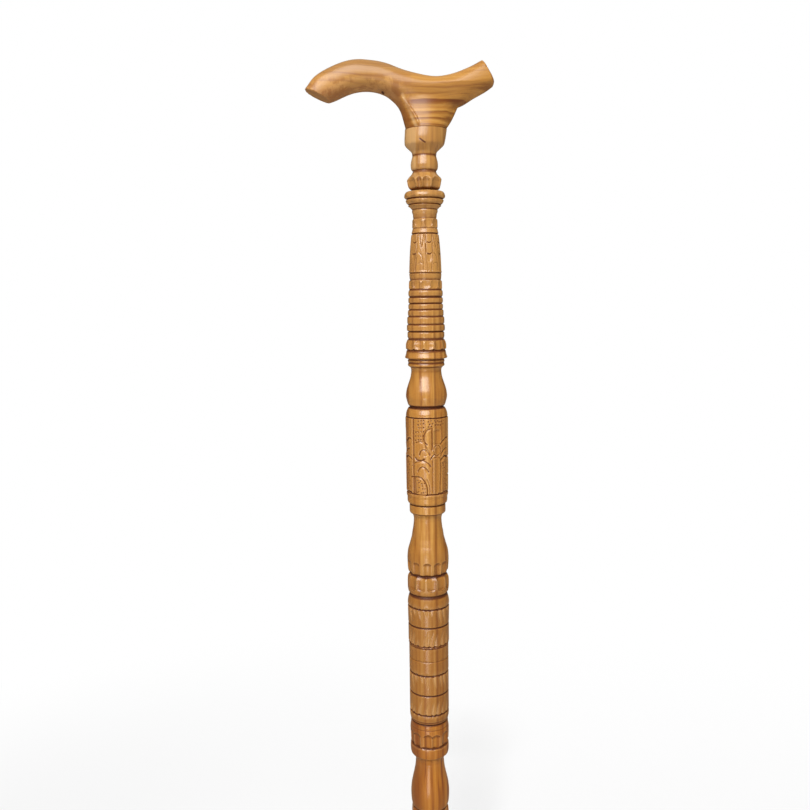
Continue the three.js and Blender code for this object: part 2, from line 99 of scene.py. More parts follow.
# Grooves that a tool deepened: height over the ground, depth, half width and burn.
UPPER_RINGS = (
    (466.2, 0.25, 0.95, 0.6), (471.5, 0.3, 1.15, 0.9), (486.2, 0.3, 1.15, 1),
    (500.8, 0.3, 1.15, 1), (520.8, 0.25, 1.05, 0.8), (535.7, 0.3, 1.15, 1), (549, 0.3, 1.15, 1),
    (558, 0.3, 1.15, 0.9), (572.3, 0.3, 1.25, 1), (615.1, 0.35, 0.95, 0.6),
    (621.3, 0.25, 0.95, 0.8), (629.9, 0.2, 0.85, 0.6), (682, 0.25, 0.95, 1),
    (688.7, 0.35, 0.95, 0.6), (715.6, 0.35, 0.95, 0.5), (727.1, 0.5, 0.95, 0.6),
    (734.2, 0.3, 1.4, 0.7), (739.3, 0.3, 1.4, 0.7), (744.1, 0.3, 1.4, 0.6),
    (749.3, 0.3, 1.4, 0.65), (753.8, 0.3, 1.4, 0.6), (757.8, 0.3, 1.4, 0.6), (762, 0.3, 1.4, 0.75),
    (766.9, 0.3, 1.4, 0.7), (773.3, 0.35, 0.9, 0.4), (777.8, 0.25, 0.95, 0.6),
    (803.3, 0.25, 0.95, 0.8), (806.95, 0.4, 0.9, 0.35), (813.3, 0.4, 0.9, 0.35),
    (819, 0.45, 0.95, 0.45), (822.1, 0.35, 0.95, 0.6), (825.7, 0.35, 0.95, 0.6),
    (831.2, 0.45, 0.95, 0.2), (843.9, 0.35, 0.95, 0.45),
)
LOWER_RINGS = (
    (460.5, 0.15, 0.5, 0.6), (446.8, 0.6, 0.8, 0.9), (438.3, 0.3, 0.6, 0.7),
    (433.2, 0.3, 0.6, 0.7), (398.3, 0.3, 0.6, 0.8), (385, 0.3, 0.6, 0.9), (377.1, 0.2, 0.6, 1),
    (289.2, 0.4, 0.6, 0.9), (282.7, 0.3, 0.6, 0.8), (246.1, 0.4, 0.6, 0.9), (239.6, 0.4, 0.6, 0.9),
    (234.7, 0.4, 0.6, 0.8), (229.8, 0.4, 0.6, 0.8), (224.9, 0.4, 0.6, 0.8), (220, 0.4, 0.6, 0.8),
    (215.1, 0.4, 0.6, 0.8), (210.2, 0.4, 0.6, 0.9), (202.2, 0.3, 0.6, 0.8),
)

# Heights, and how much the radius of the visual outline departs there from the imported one.
UPPER_TRIM = (
    (552, 0), (554.5, -0.3), (556.5, -0.6), (559, 0), (569, 0), (571.5, -0.6), (574, 0), (588, 0),
    (593, -0.4), (597.6, -0.45), (602, 0), (684, 0), (686, -0.45), (688.1, -0.9), (692.2, -0.5),
    (695, 0), (715, 0), (716.7, 0.5), (718.4, 0), (719.6, 0.7), (720.4, 1.6), (721.2, 1.7),
    (722.1, 1.1), (723.2, 0.3), (724.5, -0.2), (726.2, -0.3), (727.6, 0.1), (728.9, 0),
    (731, -0.1), (733.2, -0.6), (734.6, -0.3), (736, 0), (776.8, 0), (778, 0.5), (779.2, 0),
    (816, 0), (817.6, 0.6), (819.8, 0.8), (821.7, 1), (823.6, 0.85), (825.5, 0.55), (827.5, 0.55),
    (829.2, 0), (830.4, -0.9), (831.2, -2.6), (831.9, -1.4), (832.6, -0.8), (833.8, -0.5),
    (835.6, -0.2), (837, 0), (838, 0.4), (840, 0.2), (841.2, 0), (853.4, 0), (854.6, 0.45),
    (859.4, 0.55), (862, 0),
)
# Part of the collar whose corners are rounded, and how far.
EASED = (855, 868.5, 1.3)
# Grooves that the stain and the painted shade hardly darkened: height, reach and what is left of
# their burn.
FAINT_GROOVES = ((511, 1.6, 0.3), (832, 3.4, 0.4), (838, 4, 0.45), (844.4, 2.4, 0.4))

# Angles of cuts listed one by one: the petals of the crown with half widths, and the other rows.
CROWN = (
    (-53, 3.9), (-21, 2.1), (5, 2.7), (45, 4.1), (88, 3.4), (122, 2.7), (153, 2.7), (187, 3.6),
    (223, 2.7), (251, 2.4), (275, 2),
)
SLIM_SCALLOPS = (-34, 16, 55, 100, 145, 190, 235, 281)
VASE_ARCHES = (-37, -4, 25, 49.5, 78, 107, 138, 169, 200, 230, 261, 292)
KNOB_ARCHES = (-43, -7, 18, 52, 82, 113, 144, 176, 207, 237, 267, 292)

# Holes for the inserts and for the stud in the collar: radius and depth of each step.
INSERT_HOLE = ((8.8, 1.8), (7.3, 21.6), (5.3, 24.6))
STUD_HOLE = ((4.3, 11.3),)

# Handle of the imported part. Stations of the grip from nose to tail: the upper and the lower point
# of a slanted section, as shares of the length and of the rise, and its share of the width.
HANDLE_LENGTH, HANDLE_RISE, GRIP_WIDTH, STEM_REACH = 122.7, 43.1, 24.5, 30.8
GRIP_STATIONS = (
    (-0.626, 0.587, -0.497, 0.416, 0.84), (-0.568, 0.769, -0.463, 0.446, 0.88),
    (-0.484, 0.898, -0.412, 0.511, 0.94), (-0.391, 0.983, -0.363, 0.557, 1),
    (-0.297, 0.993, -0.301, 0.574, 1.02), (-0.203, 0.95, -0.235, 0.542, 1.03),
    (-0.103, 0.845, -0.156, 0.45, 1.04), (0, 0.771, -0.016, 0.342, 1.04),
    (0.074, 0.749, 0.078, 0.307, 1.03), (0.156, 0.79, 0.182, 0.323, 1),
    (0.236, 0.87, 0.267, 0.453, 0.95), (0.288, 0.941, 0.332, 0.554, 0.9),
    (0.313, 0.979, 0.372, 0.636, 0.86),
)
# Rings of the stem: share of the rise, and left, right and near reach as shares of STEM_REACH.
STEM_RINGS = (
    (0, 0.388, 0.466, 0.427), (0.097, 0.425, 0.565, 0.43), (0.232, 0.48, 0.665, 0.424),
    (0.348, 0.57, 0.73, 0.414), (0.429, 0.69, 0.755, 0.395), (0.491, 0.8, 0.75, 0.37),
    (0.537, 0.92, 0.71, 0.335), (0.583, 0.96, 0.65, 0.29),
)
# Soft ridges on the near side of the handle: (x, z) points, how far they rise and their width.
RIDGES = (
    (((-74.5, 27.5), (-66.0, 33.0), (-56.0, 37.8), (-46.0, 40.3), (-36.0, 41.3)), 0.5, 4.5),
    (((-14.5, 19.5), (-9.5, 13.0), (-5.0, 6.0), (-2.5, 0.5)), 0.6, 5.0),
)

# Cuts of the carved panel, which is three equal fields round the shaft. Each cut is a line of
# (arc, height) points in mm from the field's left edge and the panel's foot, then its depth, the
# widths of its left and right slopes and how dark it is burnt.
PANEL_FIELDS = 3
PANEL_START = -42.5
PANEL_CUTS = (
    (((0, 51.2), (0, 0.2)), 0.55, 0.9, 0.35, 0.35),
    (((-2, 51), (-2, 0.2)), 0.16, 0.25, 0.6, 0),
    (((13.6, 44.9), (11.2, 44.2), (9.8, 42.9), (8.8, 41.2), (8.4, 39.2), (8.5, 37.1),
     (9.1, 35.5), (10.2, 34.6)), 0.5, 0.3, 1.1, 0.15),
    (((9, 35.7), (10.4, 34.5)), 0.35, 0.25, 0.25, 0.8),
    (((14.1, 44.9), (14.2, 31)), 0.6, 0.35, 0.9, 0.45),
    (((14.3, 25), (14.3, 0.4)), 0.3, 0.3, 0.8, 0.2),
    (((14.9, 30.4), (15.5, 32.6), (17.7, 33.8), (19.9, 32.6), (20.8, 29.9), (19.9, 27.6),
     (17.7, 26.5), (15.6, 27.6), (14.9, 30.4)), 0.4, 0.3, 0.7, 0.1),
    (((12.9, 24.6), (13.8, 25.9), (15.1, 27.3)), 0.45, 0.3, 0.5, 0.75),
    (((15.1, 25.2), (17.6, 25.9), (19.9, 24.8)), 0.3, 0.3, 0.6, 0.1),
    (((20.2, 24), (20.4, 16.8), (19.9, 10), (19.5, 0.5)), 0.35, 0.7, 0.3, 0.3),
    (((22.7, 17.9), (22.5, 9.6), (22.7, 0.8)), 0.4, 0.3, 0.3, 0.45),
    (((20.5, 34.6), (22.1, 36), (23.7, 36.8), (25.5, 38), (28, 38)), 0.55, 0.3, 0.9, 0.8),
    (((20.4, 26.7), (21.7, 28.6), (23.5, 30.1), (26, 31)), 0.45, 0.3, 0.8, 0.4),
    (((20.4, 23.1), (21.7, 24.3), (23.1, 25.4), (25.5, 25.6), (28.4, 24.4)), 0.6, 0.35, 0.9,
     0.9),
    (((22.5, 21.6), (22.7, 19)), 0.5, 0.35, 0.35, 0.9),
    (((0.9, 35.4), (0.5, 31.8), (0.6, 28.4), (1.3, 25.9), (2.7, 24.2)), 0.45, 0.3, 0.9, 0.25),
    (((1.9, 24.7), (3, 23.8), (4.7, 23.2), (6.6, 23.4), (8.2, 24.2)), 0.6, 0.7, 0.4, 0.85),
    (((8.8, 35.3), (9.5, 33.1), (10.5, 30.7), (12.1, 27.9)), 0.4, 0.7, 0.3, 0.2),
    (((5, 27.5), (5.5, 29.1), (6.5, 30.4), (8.4, 30.9), (10.1, 30.1), (11.4, 28.6),
     (12.3, 27.5)), 0.45, 0.3, 0.8, 0.3),
    (((2.4, 35.6), (5.2, 36.4), (8.6, 35.6)), 0.3, 0.25, 0.6, 0.15),
    (((-0.5, 19.8), (0.8, 21.2), (2.4, 22.3), (5.1, 23), (7.7, 23.2), (9.8, 22.6),
     (11.3, 21.4), (12.8, 19.6)), 0.45, 0.25, 0.8, 0.3),
    (((11, 21.7), (12.8, 19.6)), 0.45, 0.3, 0.4, 0.6),
    (((3.7, 16.2), (4.6, 17.6), (5.9, 18.8), (7.4, 19.2), (8.8, 18.7), (10.1, 17.5),
     (11.2, 16.2)), 0.4, 0.25, 0.7, 0.25),
    (((9.6, 18), (11.2, 16.2)), 0.4, 0.25, 0.35, 0.5),
    (((-1.8, 11.7), (1.5, 12.1), (4.4, 12.2)), 0.5, 0.3, 0.6, 0.7),
    (((4.4, 12.2), (6.1, 11.6), (7.7, 10.2), (8.9, 8.6), (9.8, 6.5), (10.3, 3.8), (10.3, 0.4)),
     0.5, 0.35, 0.5, 0.6),
    (((10.2, 10.6), (11.3, 7.9), (12, 4.5), (12.1, 0.6)), 0.25, 0.3, 0.5, 0.15),
    (((1.6, 11.2), (1.6, 0.4)), 0.5, 0.6, 0.4, 0.45),
    (((-2.8, 0.2), (-0.3, 0), (2.7, 0.1)), 0.6, 0.4, 0.4, 0.95),
    (((9.6, -0.3), (11.9, 0), (14.7, 0), (18.5, -0.1)), 0.6, 0.4, 0.4, 0.95),
    (((18.5, 0.5), (22.1, 0.3), (23.1, 0.9), (26.9, 1), (28, 0.4)), 0.6, 0.4, 0.4, 0.9),
)
# Flute (arc, foot, crest, half width, depth, cap) and scoops (arc, height, sizes, depth).
PANEL_FLUTE = (17.4, 34.3, 44.4, 3, 0.7, 1.6)
PANEL_SCOOPS = ((17.8, 30, 2.6, 3, 0.55), (9, 28.2, 2.2, 2.3, 0.45))
PANEL_DOTS = (
    (4.4, 50.2), (6.4, 50.5), (8.1, 50.6), (4.3, 47.6), (6.2, 48.3), (8.2, 48.5), (4.9, 45.6),
    (6.4, 45.8), (8.1, 45.9), (2.5, 42.7), (4.3, 42.9), (6.2, 43.1), (8.1, 43.2), (2.4, 39.9),
    (4.3, 40.1), (5.9, 40.1), (7.8, 40.3), (2.2, 37.2), (4.3, 37.5), (6.2, 37.7), (7.9, 37.8),
    (11.5, 49.8), (13.4, 50.4), (14.3, 48.4), (12.4, 47.9), (15.9, 50.4), (16.6, 49.4), (18, 50.2),
    (19.2, 49.5), (16.5, 47.4), (18.2, 47.4), (11.5, 46.3), (13.6, 46.8), (20.2, 47.2),
    (21.1, 49.7), (22.6, 47.8), (23, 50.1), (4.4, 8.3), (6.4, 7.6), (8.4, 7.9), (6.6, 6.1),
    (4.4, 4.9), (7, 4.2), (8.7, 4.2), (4, 1.9), (5.9, 1.3), (7.4, 1.4), (9.1, 1.9), (2.9, 1.6),
    (3.5, 9.8), (5.5, 9.5), (24.4, 21.5), (26.3, 20.2), (24.2, 17.6), (26.4, 16.1), (24.5, 13.8),
    (26.6, 12.4), (24.3, 10.2), (26.5, 8.6), (24.6, 6.4), (26.7, 4.8), (24.5, 3),
)


# ---- numbers and curves


def srgb(red, green, blue):
    """Linear colour of 0 to 255 screen values."""
    def linear(value):
        value /= 255
        return value / 12.92 if value <= 0.04045 else ((value + 0.055) / 1.055) ** 2.4
    return linear(red), linear(green), linear(blue), 1.0


def angles_round(columns):
    """Even angles round the axis, from the side away from the camera and back to it."""
    return np.linspace(-math.pi, math.pi, columns, endpoint=False)


def tangents(at, value):
    """Slopes at the points that keep every rise and fall between them."""
    step = np.diff(at)
    rate = np.diff(value) / step
    out = np.zeros_like(value)
    if len(at) == 2:
        out[:] = rate[0]
        return out
    same = rate[:-1] * rate[1:] > 0
    one, two = 2 * step[1:] + step[:-1], step[1:] + 2 * step[:-1]
    first, second = np.where(same, rate[:-1], 1), np.where(same, rate[1:], 1)
    out[1:-1] = np.where(same, 1, 0) * (one + two) / (one / first + two / second)
    for end, near, far, d0, d1 in (
        (0, step[0], step[1], rate[0], rate[1]),
        (-1, step[-1], step[-2], rate[-1], rate[-2]),
    ):
        slope = ((2 * near + far) * d0 - near * d1) / (near + far)
        if slope * d0 <= 0:
            slope = 0
        elif d0 * d1 <= 0 and abs(slope) > 3 * abs(d0):
            slope = 3 * d0
        out[end] = slope
    return out


def curve_through(at, value, where):
    """Smooth curve through points, without overshoot."""
    slope = tangents(at, value)
    i = np.clip(np.searchsorted(at, where, side="right") - 1, 0, len(at) - 2)
    width = at[i + 1] - at[i]
    s = (where - at[i]) / width
    return (
        (1 + 2 * s) * (1 - s) ** 2 * value[i]
        + s * (1 - s) ** 2 * width * slope[i]
        + s * s * (3 - 2 * s) * value[i + 1]
        + s * s * (s - 1) * width * slope[i + 1]
    )


def spline(points, count):
    """Catmull-Rom curve through points of any dimension."""
    pts = np.asarray(points, float)
    pts = np.vstack([2 * pts[0] - pts[1], pts, 2 * pts[-1] - pts[-2]])
    at = np.linspace(0, len(pts) - 3 - 1e-9, count)
    i = at.astype(int)
    s = (at - i)[:, None]
    a, b, c, d = pts[i], pts[i + 1], pts[i + 2], pts[i + 3]
    return 0.5 * (
        2 * b + (c - a) * s + (2 * a - 5 * b + 4 * c - d) * s**2 + (3 * b - a - 3 * c + d) * s**3
    )


# ---- turned outlines

INNER_SHARE = 0.72
NEIGHBOUR_REACH = 4.0
CORNER_ANGLE = math.radians(44)
SOFT_ANGLE = math.radians(30)
DENSE_STEP = 0.05


def node_outline(name):
    """Heights and outer radii of a turned node in mm, read from its CAD mesh."""
    rings = {}
    for _, y, z in read(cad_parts[name].data) / MM:
        key = round(z, 2)
        rings[key] = max(rings.get(key, 0), abs(y))
    height = np.array(sorted(rings))
    radius = np.array([rings[z] for z in height])
    widest = np.array([radius[np.abs(height - z) < NEIGHBOUR_REACH].max() for z in height])
    keep = radius > INNER_SHARE * widest
    return height[keep], radius[keep]


def along(points):
    """How far along a line each of its points lies."""
    return np.append(0, np.cumsum(np.hypot(*np.diff(points, axis=0).T)))


def fine_outline(height, radius, step_at):
    """Smooth outline between its sharp corners, with rows as close as step_at(z) asks."""
    points = np.stack([height, radius], 1)
    leg = np.diff(points, axis=0)
    corner = np.abs(np.diff(np.arctan2(leg[:, 1], leg[:, 0]))) > CORNER_ANGLE
    cuts = [0, *(np.nonzero(corner)[0] + 1), len(points) - 1]
    rows = [points[:1]]
    for first, last in zip(cuts[:-1], cuts[1:]):
        run = points[first:last + 1]
        at = along(run)
        dense = np.linspace(0, at[-1], max(8, int(at[-1] / DENSE_STEP)))
        z, r = curve_through(at, run[:, 0], dense), curve_through(at, run[:, 1], dense)
        length = np.hypot(np.diff(z), np.diff(r))
        need = np.append(0, np.cumsum(length / step_at((z[1:] + z[:-1]) / 2)))
        share = np.linspace(0, need[-1], max(2, int(math.ceil(need[-1])) + 1))[1:]
        rows.append(np.stack([np.interp(share, need, z), np.interp(share, need, r)], 1))
    rows = np.vstack(rows)
    for _ in range(2):
        leg = np.diff(rows, axis=0)
        turn = np.abs(np.diff(np.arctan2(leg[:, 1], leg[:, 0])))
        weight = np.clip(turn / SOFT_ANGLE, 0, 1)[:, None] * 0.5
        rows[1:-1] += weight * ((rows[:-2] + rows[2:]) / 2 - rows[1:-1])
    return rows[:, 0], rows[:, 1]


def eased(height, radius, low, high, reach):
    """Radius with its corners rounded between two heights."""
    even = np.arange(low - 3 * reach, high + 3 * reach, DENSE_STEP)
    level = np.interp(even, height, radius)
    kernel = np.exp(-0.5 * (np.arange(-3 * reach, 3 * reach, DENSE_STEP) / (reach / 2)) ** 2)
    soft = np.convolve(level, kernel / kernel.sum(), mode="same")
    share = np.clip(np.minimum(height - low, high - height) / 0.6, 0, 1)
    return radius + share * (np.interp(height, even, soft) - radius)


def groove_mask(height, radius, reach, full):
    """How deep each row lies in a narrow groove, from 0 to 1."""
    step = 0.1
    even = np.arange(height[0], height[-1], step)
    level = np.interp(even, height, radius)
    half, closed = int(reach / step), level
    for choose in (np.max, np.min):
        padded = np.pad(closed, half, mode="edge")
        closed = choose([padded[i:i + len(level)] for i in range(2 * half + 1)], axis=0)
    mask = np.clip((closed - level) / full, 0, 1)
    spread = np.max([np.roll(mask, i) * (1 - abs(i) / 5) for i in range(-4, 5)], axis=0)
    return np.interp(height, even, spread)


# ---- carving

# The chips' lean, burn and pale facets; the pale is bared wood with a painted highlight of the
# light they catch.
CHIP_LEAN, CHIP_BURN, CHIP_PALE = 0.24, 0.12, 0.9
DOT_RADIUS, DOT_DEPTH, DOT_BURN = 0.5, 0.42, 0.75
SCALE_HALF = 2.1
RIM_REACH, EDGE_REACH, LINE_REACH = 0.3, 0.28, 0.42


class Relief:
    """Cuts in a turned surface, in mm, over rows along the stick and columns round it."""

    def __init__(self, height, radius, columns, seed):
        self.height, self.radius, self.angle = height, radius, angles_round(columns)
        self.cut = np.zeros((len(height), columns))
        self.pale = np.zeros_like(self.cut)
        self.burnt = self.stain(1.5, 0.55) + self.cut
        self.random = np.random.default_rng(seed)

    def stain(self, reach, full):
        """How dark the stain of the turned grooves is at each row; with a wide reach it is painted
        shade in the broad hollows of the profile.
        """
        dark = groove_mask(self.height, self.radius, reach, full)
        for middle, near, share in FAINT_GROOVES:
            dark[np.abs(self.height - middle) < near] *= share
        return dark[:, None]

    def radius_at(self, height):
        return np.interp(height, self.height, self.radius)

    def window(self, low, high, angle):
        """Rows between two heights, and the arc and the height of every point there."""
        first, last = np.searchsorted(self.height, (low, high))
        rows = slice(first, max(last, first + 1))
        turn = (self.angle - math.radians(angle) + math.pi) % (2 * math.pi) - math.pi
        arc = turn[None, :] * self.radius[rows, None]
        return rows, arc, np.broadcast_to(self.height[rows, None], arc.shape)

    def carve(self, area, depth, burn, pale=0.0):
        """Cuts, burns and bares an area at least as far as given; the bared wood carries a painted
        highlight.
        """
        for layer, amount in ((self.cut, depth), (self.burnt, burn), (self.pale, pale)):
            layer[area] = np.maximum(layer[area], amount)

    def scoop(self, angle, middle, half_arc, half_rise, depth, burn=0.0, rim=False):
        """Oval gouge mark, burnt all over or only at its rim."""
        rows, arc, height = self.window(middle - half_rise, middle + half_rise, angle)
        reach = (arc / half_arc) ** 2 + ((height - middle) / half_rise) ** 2
        inside = np.clip(1 - reach, 0, 1)
        dark = np.clip(inside * 4, 0, 1)
        if rim:
            dark = np.exp(-(((np.sqrt(reach) - 1) * half_arc / RIM_REACH) ** 2))
        self.carve(rows, depth * inside**0.7, burn * dark)

    def flute(self, angle, foot, crest, half, depth, cap, burn=0.0):
        """Gouge channel from an open foot to a round crest, which is burnt along its edge."""
        low, high = min(foot, crest) - 0.4, max(foot, crest) + 0.4
        rows, arc, height = self.window(low, high, angle)
        along = (height - foot) * (1 if crest > foot else -1)
        over = np.clip((along - (abs(crest - foot) - cap)) / cap, 0, 2)
        reach = np.hypot(arc / half, over)
        shape = np.clip(1 - reach**2, 0, 1) ** 0.7 * (along > -0.2)
        edge = np.exp(-(((reach - 1) * half / EDGE_REACH) ** 2)) * (over > 0.25)
        self.carve(rows, depth * shape, burn * edge)

    def ring(self, middle, depth, half, burn):
        """Turned groove, a little uneven as a hand-held tool leaves it."""
        rows, _, height = self.window(middle - half - 0.2, middle + half + 0.2, 0)
        phase = self.random.uniform(0, 2 * math.pi)
        level = middle + 0.1 * np.sin(self.angle + phase) + 0.05 * np.sin(5 * self.angle - phase)
        shape = np.clip(1 - np.abs(height - level) / half, 0, 1)
        self.cut[rows] += depth * shape**1.5
        self.carve(rows, 0, burn * np.clip(shape * 2 - 0.7, 0, 1))

    def stroke(self, angle, points, depth, left, right, burn=0.0, fade=0.0, pale=0.0):
        """Knife cut along (arc, height) points, whose two slopes can differ in width.

        A cut that fades runs out in width and depth towards its last point.
        """
        pts = np.asarray(points, float)
        if len(pts) > 2:
            pts = spline(pts, 4 * len(pts))
        margin = max(left, right)
        rows, arc, height = self.window(pts[:, 1].min() - margin, pts[:, 1].max() + margin, angle)
        near = (arc.max(0) > pts[:, 0].min() - margin) & (arc.min(0) < pts[:, 0].max() + margin)
        cols = np.nonzero(near)[0]
        arc, height = arc[:, cols], height[:, cols]
        best, side, left_over = np.full(arc.shape, 1e9), np.zeros(arc.shape), np.ones(arc.shape)
        for i, ((ax, az), (bx, bz)) in enumerate(zip(pts[:-1], pts[1:])):
            dx, dz = bx - ax, bz - az
            t = np.clip(((arc - ax) * dx + (height - az) * dz) / (dx * dx + dz * dz), 0, 1)
            ex, ez = arc - ax - t * dx, height - az - t * dz
            away = np.hypot(ex, ez)
            nearer = away < best
            best = np.where(nearer, away, best)
            side = np.where(nearer, dx * ez - dz * ex, side)
            left_over = np.where(nearer, 1 - fade * (i + t) / (len(pts) - 1), left_over)
        width = np.where(side > 0, left, right) * (0.35 + 0.65 * left_over)
        slope = np.clip(1 - best / width, 0, 1) * left_over**0.6
        line = np.exp(-((best / LINE_REACH) ** 2)) * left_over
        area = np.ix_(np.arange(rows.start, rows.stop), cols)
        self.carve(area, depth * slope, burn * line, pale * np.clip(slope * 2, 0, 1))

    def settle(self):
        """Darkens the bottoms of the cuts, where stain stays, paints shade into the broad hollows
        of the profile, and marks the worn edges of the cuts, with a painted highlight on them and
        on the chips.
        """
        mean, reach = self.cut, 3
        for axis in (0, 1):
            mean = sum(np.roll(mean, i, axis) for i in range(-reach, reach + 1)) / (2 * reach + 1)
        hollow = np.clip((self.cut - mean) / 0.3, -1, 1)
        stain = 0.44 * np.clip(hollow * 1.2, 0, 1) * (1 - 0.75 * self.pale)
        # Painted shade: a weak darkening over the wide hollows of the turned profile, such as
        # between the ribs.
        self.burnt = np.maximum(np.maximum(self.burnt, stain), 0.3 * self.stain(3.5, 1.8))
        # Worn edges of the cuts and pale chip facets, lightened partly as wear and partly as a
        # painted highlight.
        self.worn = 0.45 * np.clip(-hollow * 1.4, 0, 1) * (self.burnt < 0.3)
        self.worn = np.maximum(self.worn, self.pale * np.clip(1 - 2 * self.burnt, 0, 1))


def ring_of(count, start, jitter, random):
    """Angles round the stick for hand-spaced cuts."""
    step = 360 / count
    return [start + i * step + random.uniform(-jitter, jitter) * step for i in range(count)]


def carve_chips(relief, span, from_top, count, start, length):
    """Row of leaning knife chips from one edge of a band, deepest at that edge."""
    random = relief.random
    edge = span[1] + 0.2 if from_top else span[0] - 0.2
    sense = -1 if from_top else 1
    for angle in ring_of(count, start, 0.22, random):
        rise = length * random.choice((random.uniform(0.8, 1.12), 0.5), p=(0.75, 0.25))
        tip = rise * CHIP_LEAN * random.uniform(0.6, 1.3)
        line = [(0, edge), (tip * 0.35, edge + sense * rise * 0.5), (tip, edge + sense * rise)]
        depth = random.uniform(0.6, 0.95)
        wide = random.uniform(1.8, 2.8)
        left, right = (wide, 0.55) if from_top else (0.55, wide)
        relief.stroke(angle, line, depth, left, right, CHIP_BURN, 1.0, CHIP_PALE)
        relief.scoop(angle, edge, 1.5, 0.7, depth * 0.7, 0.6)


def carve_arches(relief, low, rise, angles, half_degrees, depth, burn, cap):
    """Arcade of flutes between an open foot and burnt arched crests."""
    radius = relief.radius_at(low + rise / 2)
    for angle in angles:
        crest = low + rise + relief.random.uniform(-0.3, 0.3)
        relief.flute(angle, low, crest, math.radians(half_degrees) * radius, depth, cap, burn)


def carve_scallops(relief, span, angles, depth):
    """Row of round gouge marks that nearly touch."""
    low, high = span
    middle = (low + high) / 2
    pitch = 2 * math.pi * relief.radius_at(middle) / len(angles)
    for angle in angles:
        half = 0.47 * pitch * relief.random.uniform(0.94, 1.04)
        relief.scoop(angle, middle, half, (high - low) / 2 * 0.96, depth, 0.25, True)


def carve_panel(relief, span):
    """Three fields of leaves, arches and punched grounds between upright borders."""
    low, random = span[0], relief.random
    for field in range(PANEL_FIELDS):
        angle = PANEL_START + field * 360 / PANEL_FIELDS
        for points, depth, left, right, burn in PANEL_CUTS:
            lifted = [(arc, low + height) for arc, height in points]
            relief.stroke(angle, lifted, 1.6 * depth, 1.75 * left, 1.75 * right, 0.95 * burn)
        arc, foot, crest, half, depth, cap = PANEL_FLUTE
        radius = relief.radius_at(low + foot)
        turn = angle + math.degrees(arc / radius)
        relief.flute(turn, low + foot, low + crest, half, depth, cap)
        for arc, height, *size in PANEL_SCOOPS:
            relief.scoop(angle + math.degrees(arc / radius), low + height, *size)
        for arc, height in PANEL_DOTS:
            turn = angle + math.degrees(arc / relief.radius_at(low + height))
            size = DOT_RADIUS * random.uniform(0.85, 1.15)
            dark = DOT_BURN * random.uniform(0.7, 1)
            relief.scoop(turn, low + height, size, size, DOT_DEPTH, dark)


def carve_leaf_cone(relief, span):
    """Columns of stacked scales between long pointed leaves."""
    low, high = span
    for k in range(6):
        middle = 13 + 60 * k + relief.random.uniform(-1.5, 1.5)
        for top, foot in ((high, high - 5.6), (high - 6.4, high - 12.9)):
            half = SCALE_HALF
            side = [(half, top), (half, foot + 1.6), (half * 0.6, foot + 0.4)]
            arch = [(-arc, at) for arc, at in side] + [(0, foot)] + side[::-1]
            relief.stroke(middle, arch, 0.4, 0.25, 0.7, 0.1)
            relief.stroke(middle, arch[2:5], 0.4, 0.3, 0.4, 0.65)
        relief.flute(middle, high - 13.2, high - 18.6, 1.7, 0.55, 3.6)
        for angle, arcs, heights, *cut in (
            (middle, (-2.6, -2.2, -1, -0.9), (high, high - 12, low + 3, low), 0.3, 0.3, 0.6, 0.1),
            (middle, (2.6, 2.4, 1.6, 1.6), (high, high - 12, low + 3, low), 0.35, 0.6, 0.3, 0.2),
            (middle - 30, (-1.3, -0.6, 0.1), (high, high - 5.5, high - 8.5), 0.4, 0.3, 0.5, 0.3),
            (middle - 30, (1.3, 0.9, 0.1), (high, high - 5.5, high - 8.5), 0.4, 0.5, 0.3, 0),
            (middle - 30, (-1.6, 0.4, 1.2, 1.3), (high - 12, high - 14.5, high - 18, low + 1.5),
             0.4, 0.6, 0.3, 0),
            (middle - 30, (-2.4, 0.2, 1.2), (low + 5.5, low + 6.2, low + 5), 0.3, 0.3, 0.5, 0.1),
        ):
            relief.stroke(angle, list(zip(arcs, heights)), *cut)


def carve_upper(relief, span):
    """Everything that is cut in the turned upper shaft."""
    random = relief.random
    for ring in UPPER_RINGS:
        relief.ring(*ring)
    low, _ = span["crown"]
    for angle, wide in CROWN:
        half = wide * random.uniform(0.97, 1.02)
        relief.flute(angle, low, low + 8.6 + random.uniform(-0.3, 0.3), half, 1.7, 3.0, 0.1)
    carve_scallops(relief, span["slim_scallops"], SLIM_SCALLOPS, 0.95)
    carve_leaf_cone(relief, span["leaf_cone"])
    carve_scallops(relief, span["neck_scallops"], ring_of(11, -1, 0.05, random), 0.95)
    carve_scallops(relief, span["scallops"], ring_of(12, -23, 0.05, random), 1.05)
    for angle in ring_of(12, -8, 0.05, random):
        relief.scoop(angle, span["scallops"][0] + 0.2, 0.9, 1.0, 0.7, 0.8)
    carve_panel(relief, span["panel"])
    carve_arches(relief, span["vase"][0], 9.9, VASE_ARCHES, 10.6, 1.1, 0.5, 2.2)
    low, high = span["fluted_bead"]
    for angle in ring_of(12, -22, 0.06, random):
        relief.flute(angle, high, low + 4.0, 3.3, 1.15, 2.2, 0.45)
    carve_chips(relief, span["band_6"], True, 21, 6, 9.5)
    carve_chips(relief, span["band_5"], False, 21, 0, 10.5)
    carve_chips(relief, span["band_2"], True, 21, 10, 10.2)
    carve_chips(relief, span["band_1"], False, 20, 3, 11.0)
    low, high = span["collar"]
    mark = [(-1.7, low + 6.6), (0.2, low + 5.2), (1.9, low + 4.2)]
    relief.stroke(-8, mark, 0.35, 0.3, 0.3, 0.95)
    relief.stroke(-25, [(0, low - 10.5), (0, high)], 0.12, 0.2, 0.2, 0.12)


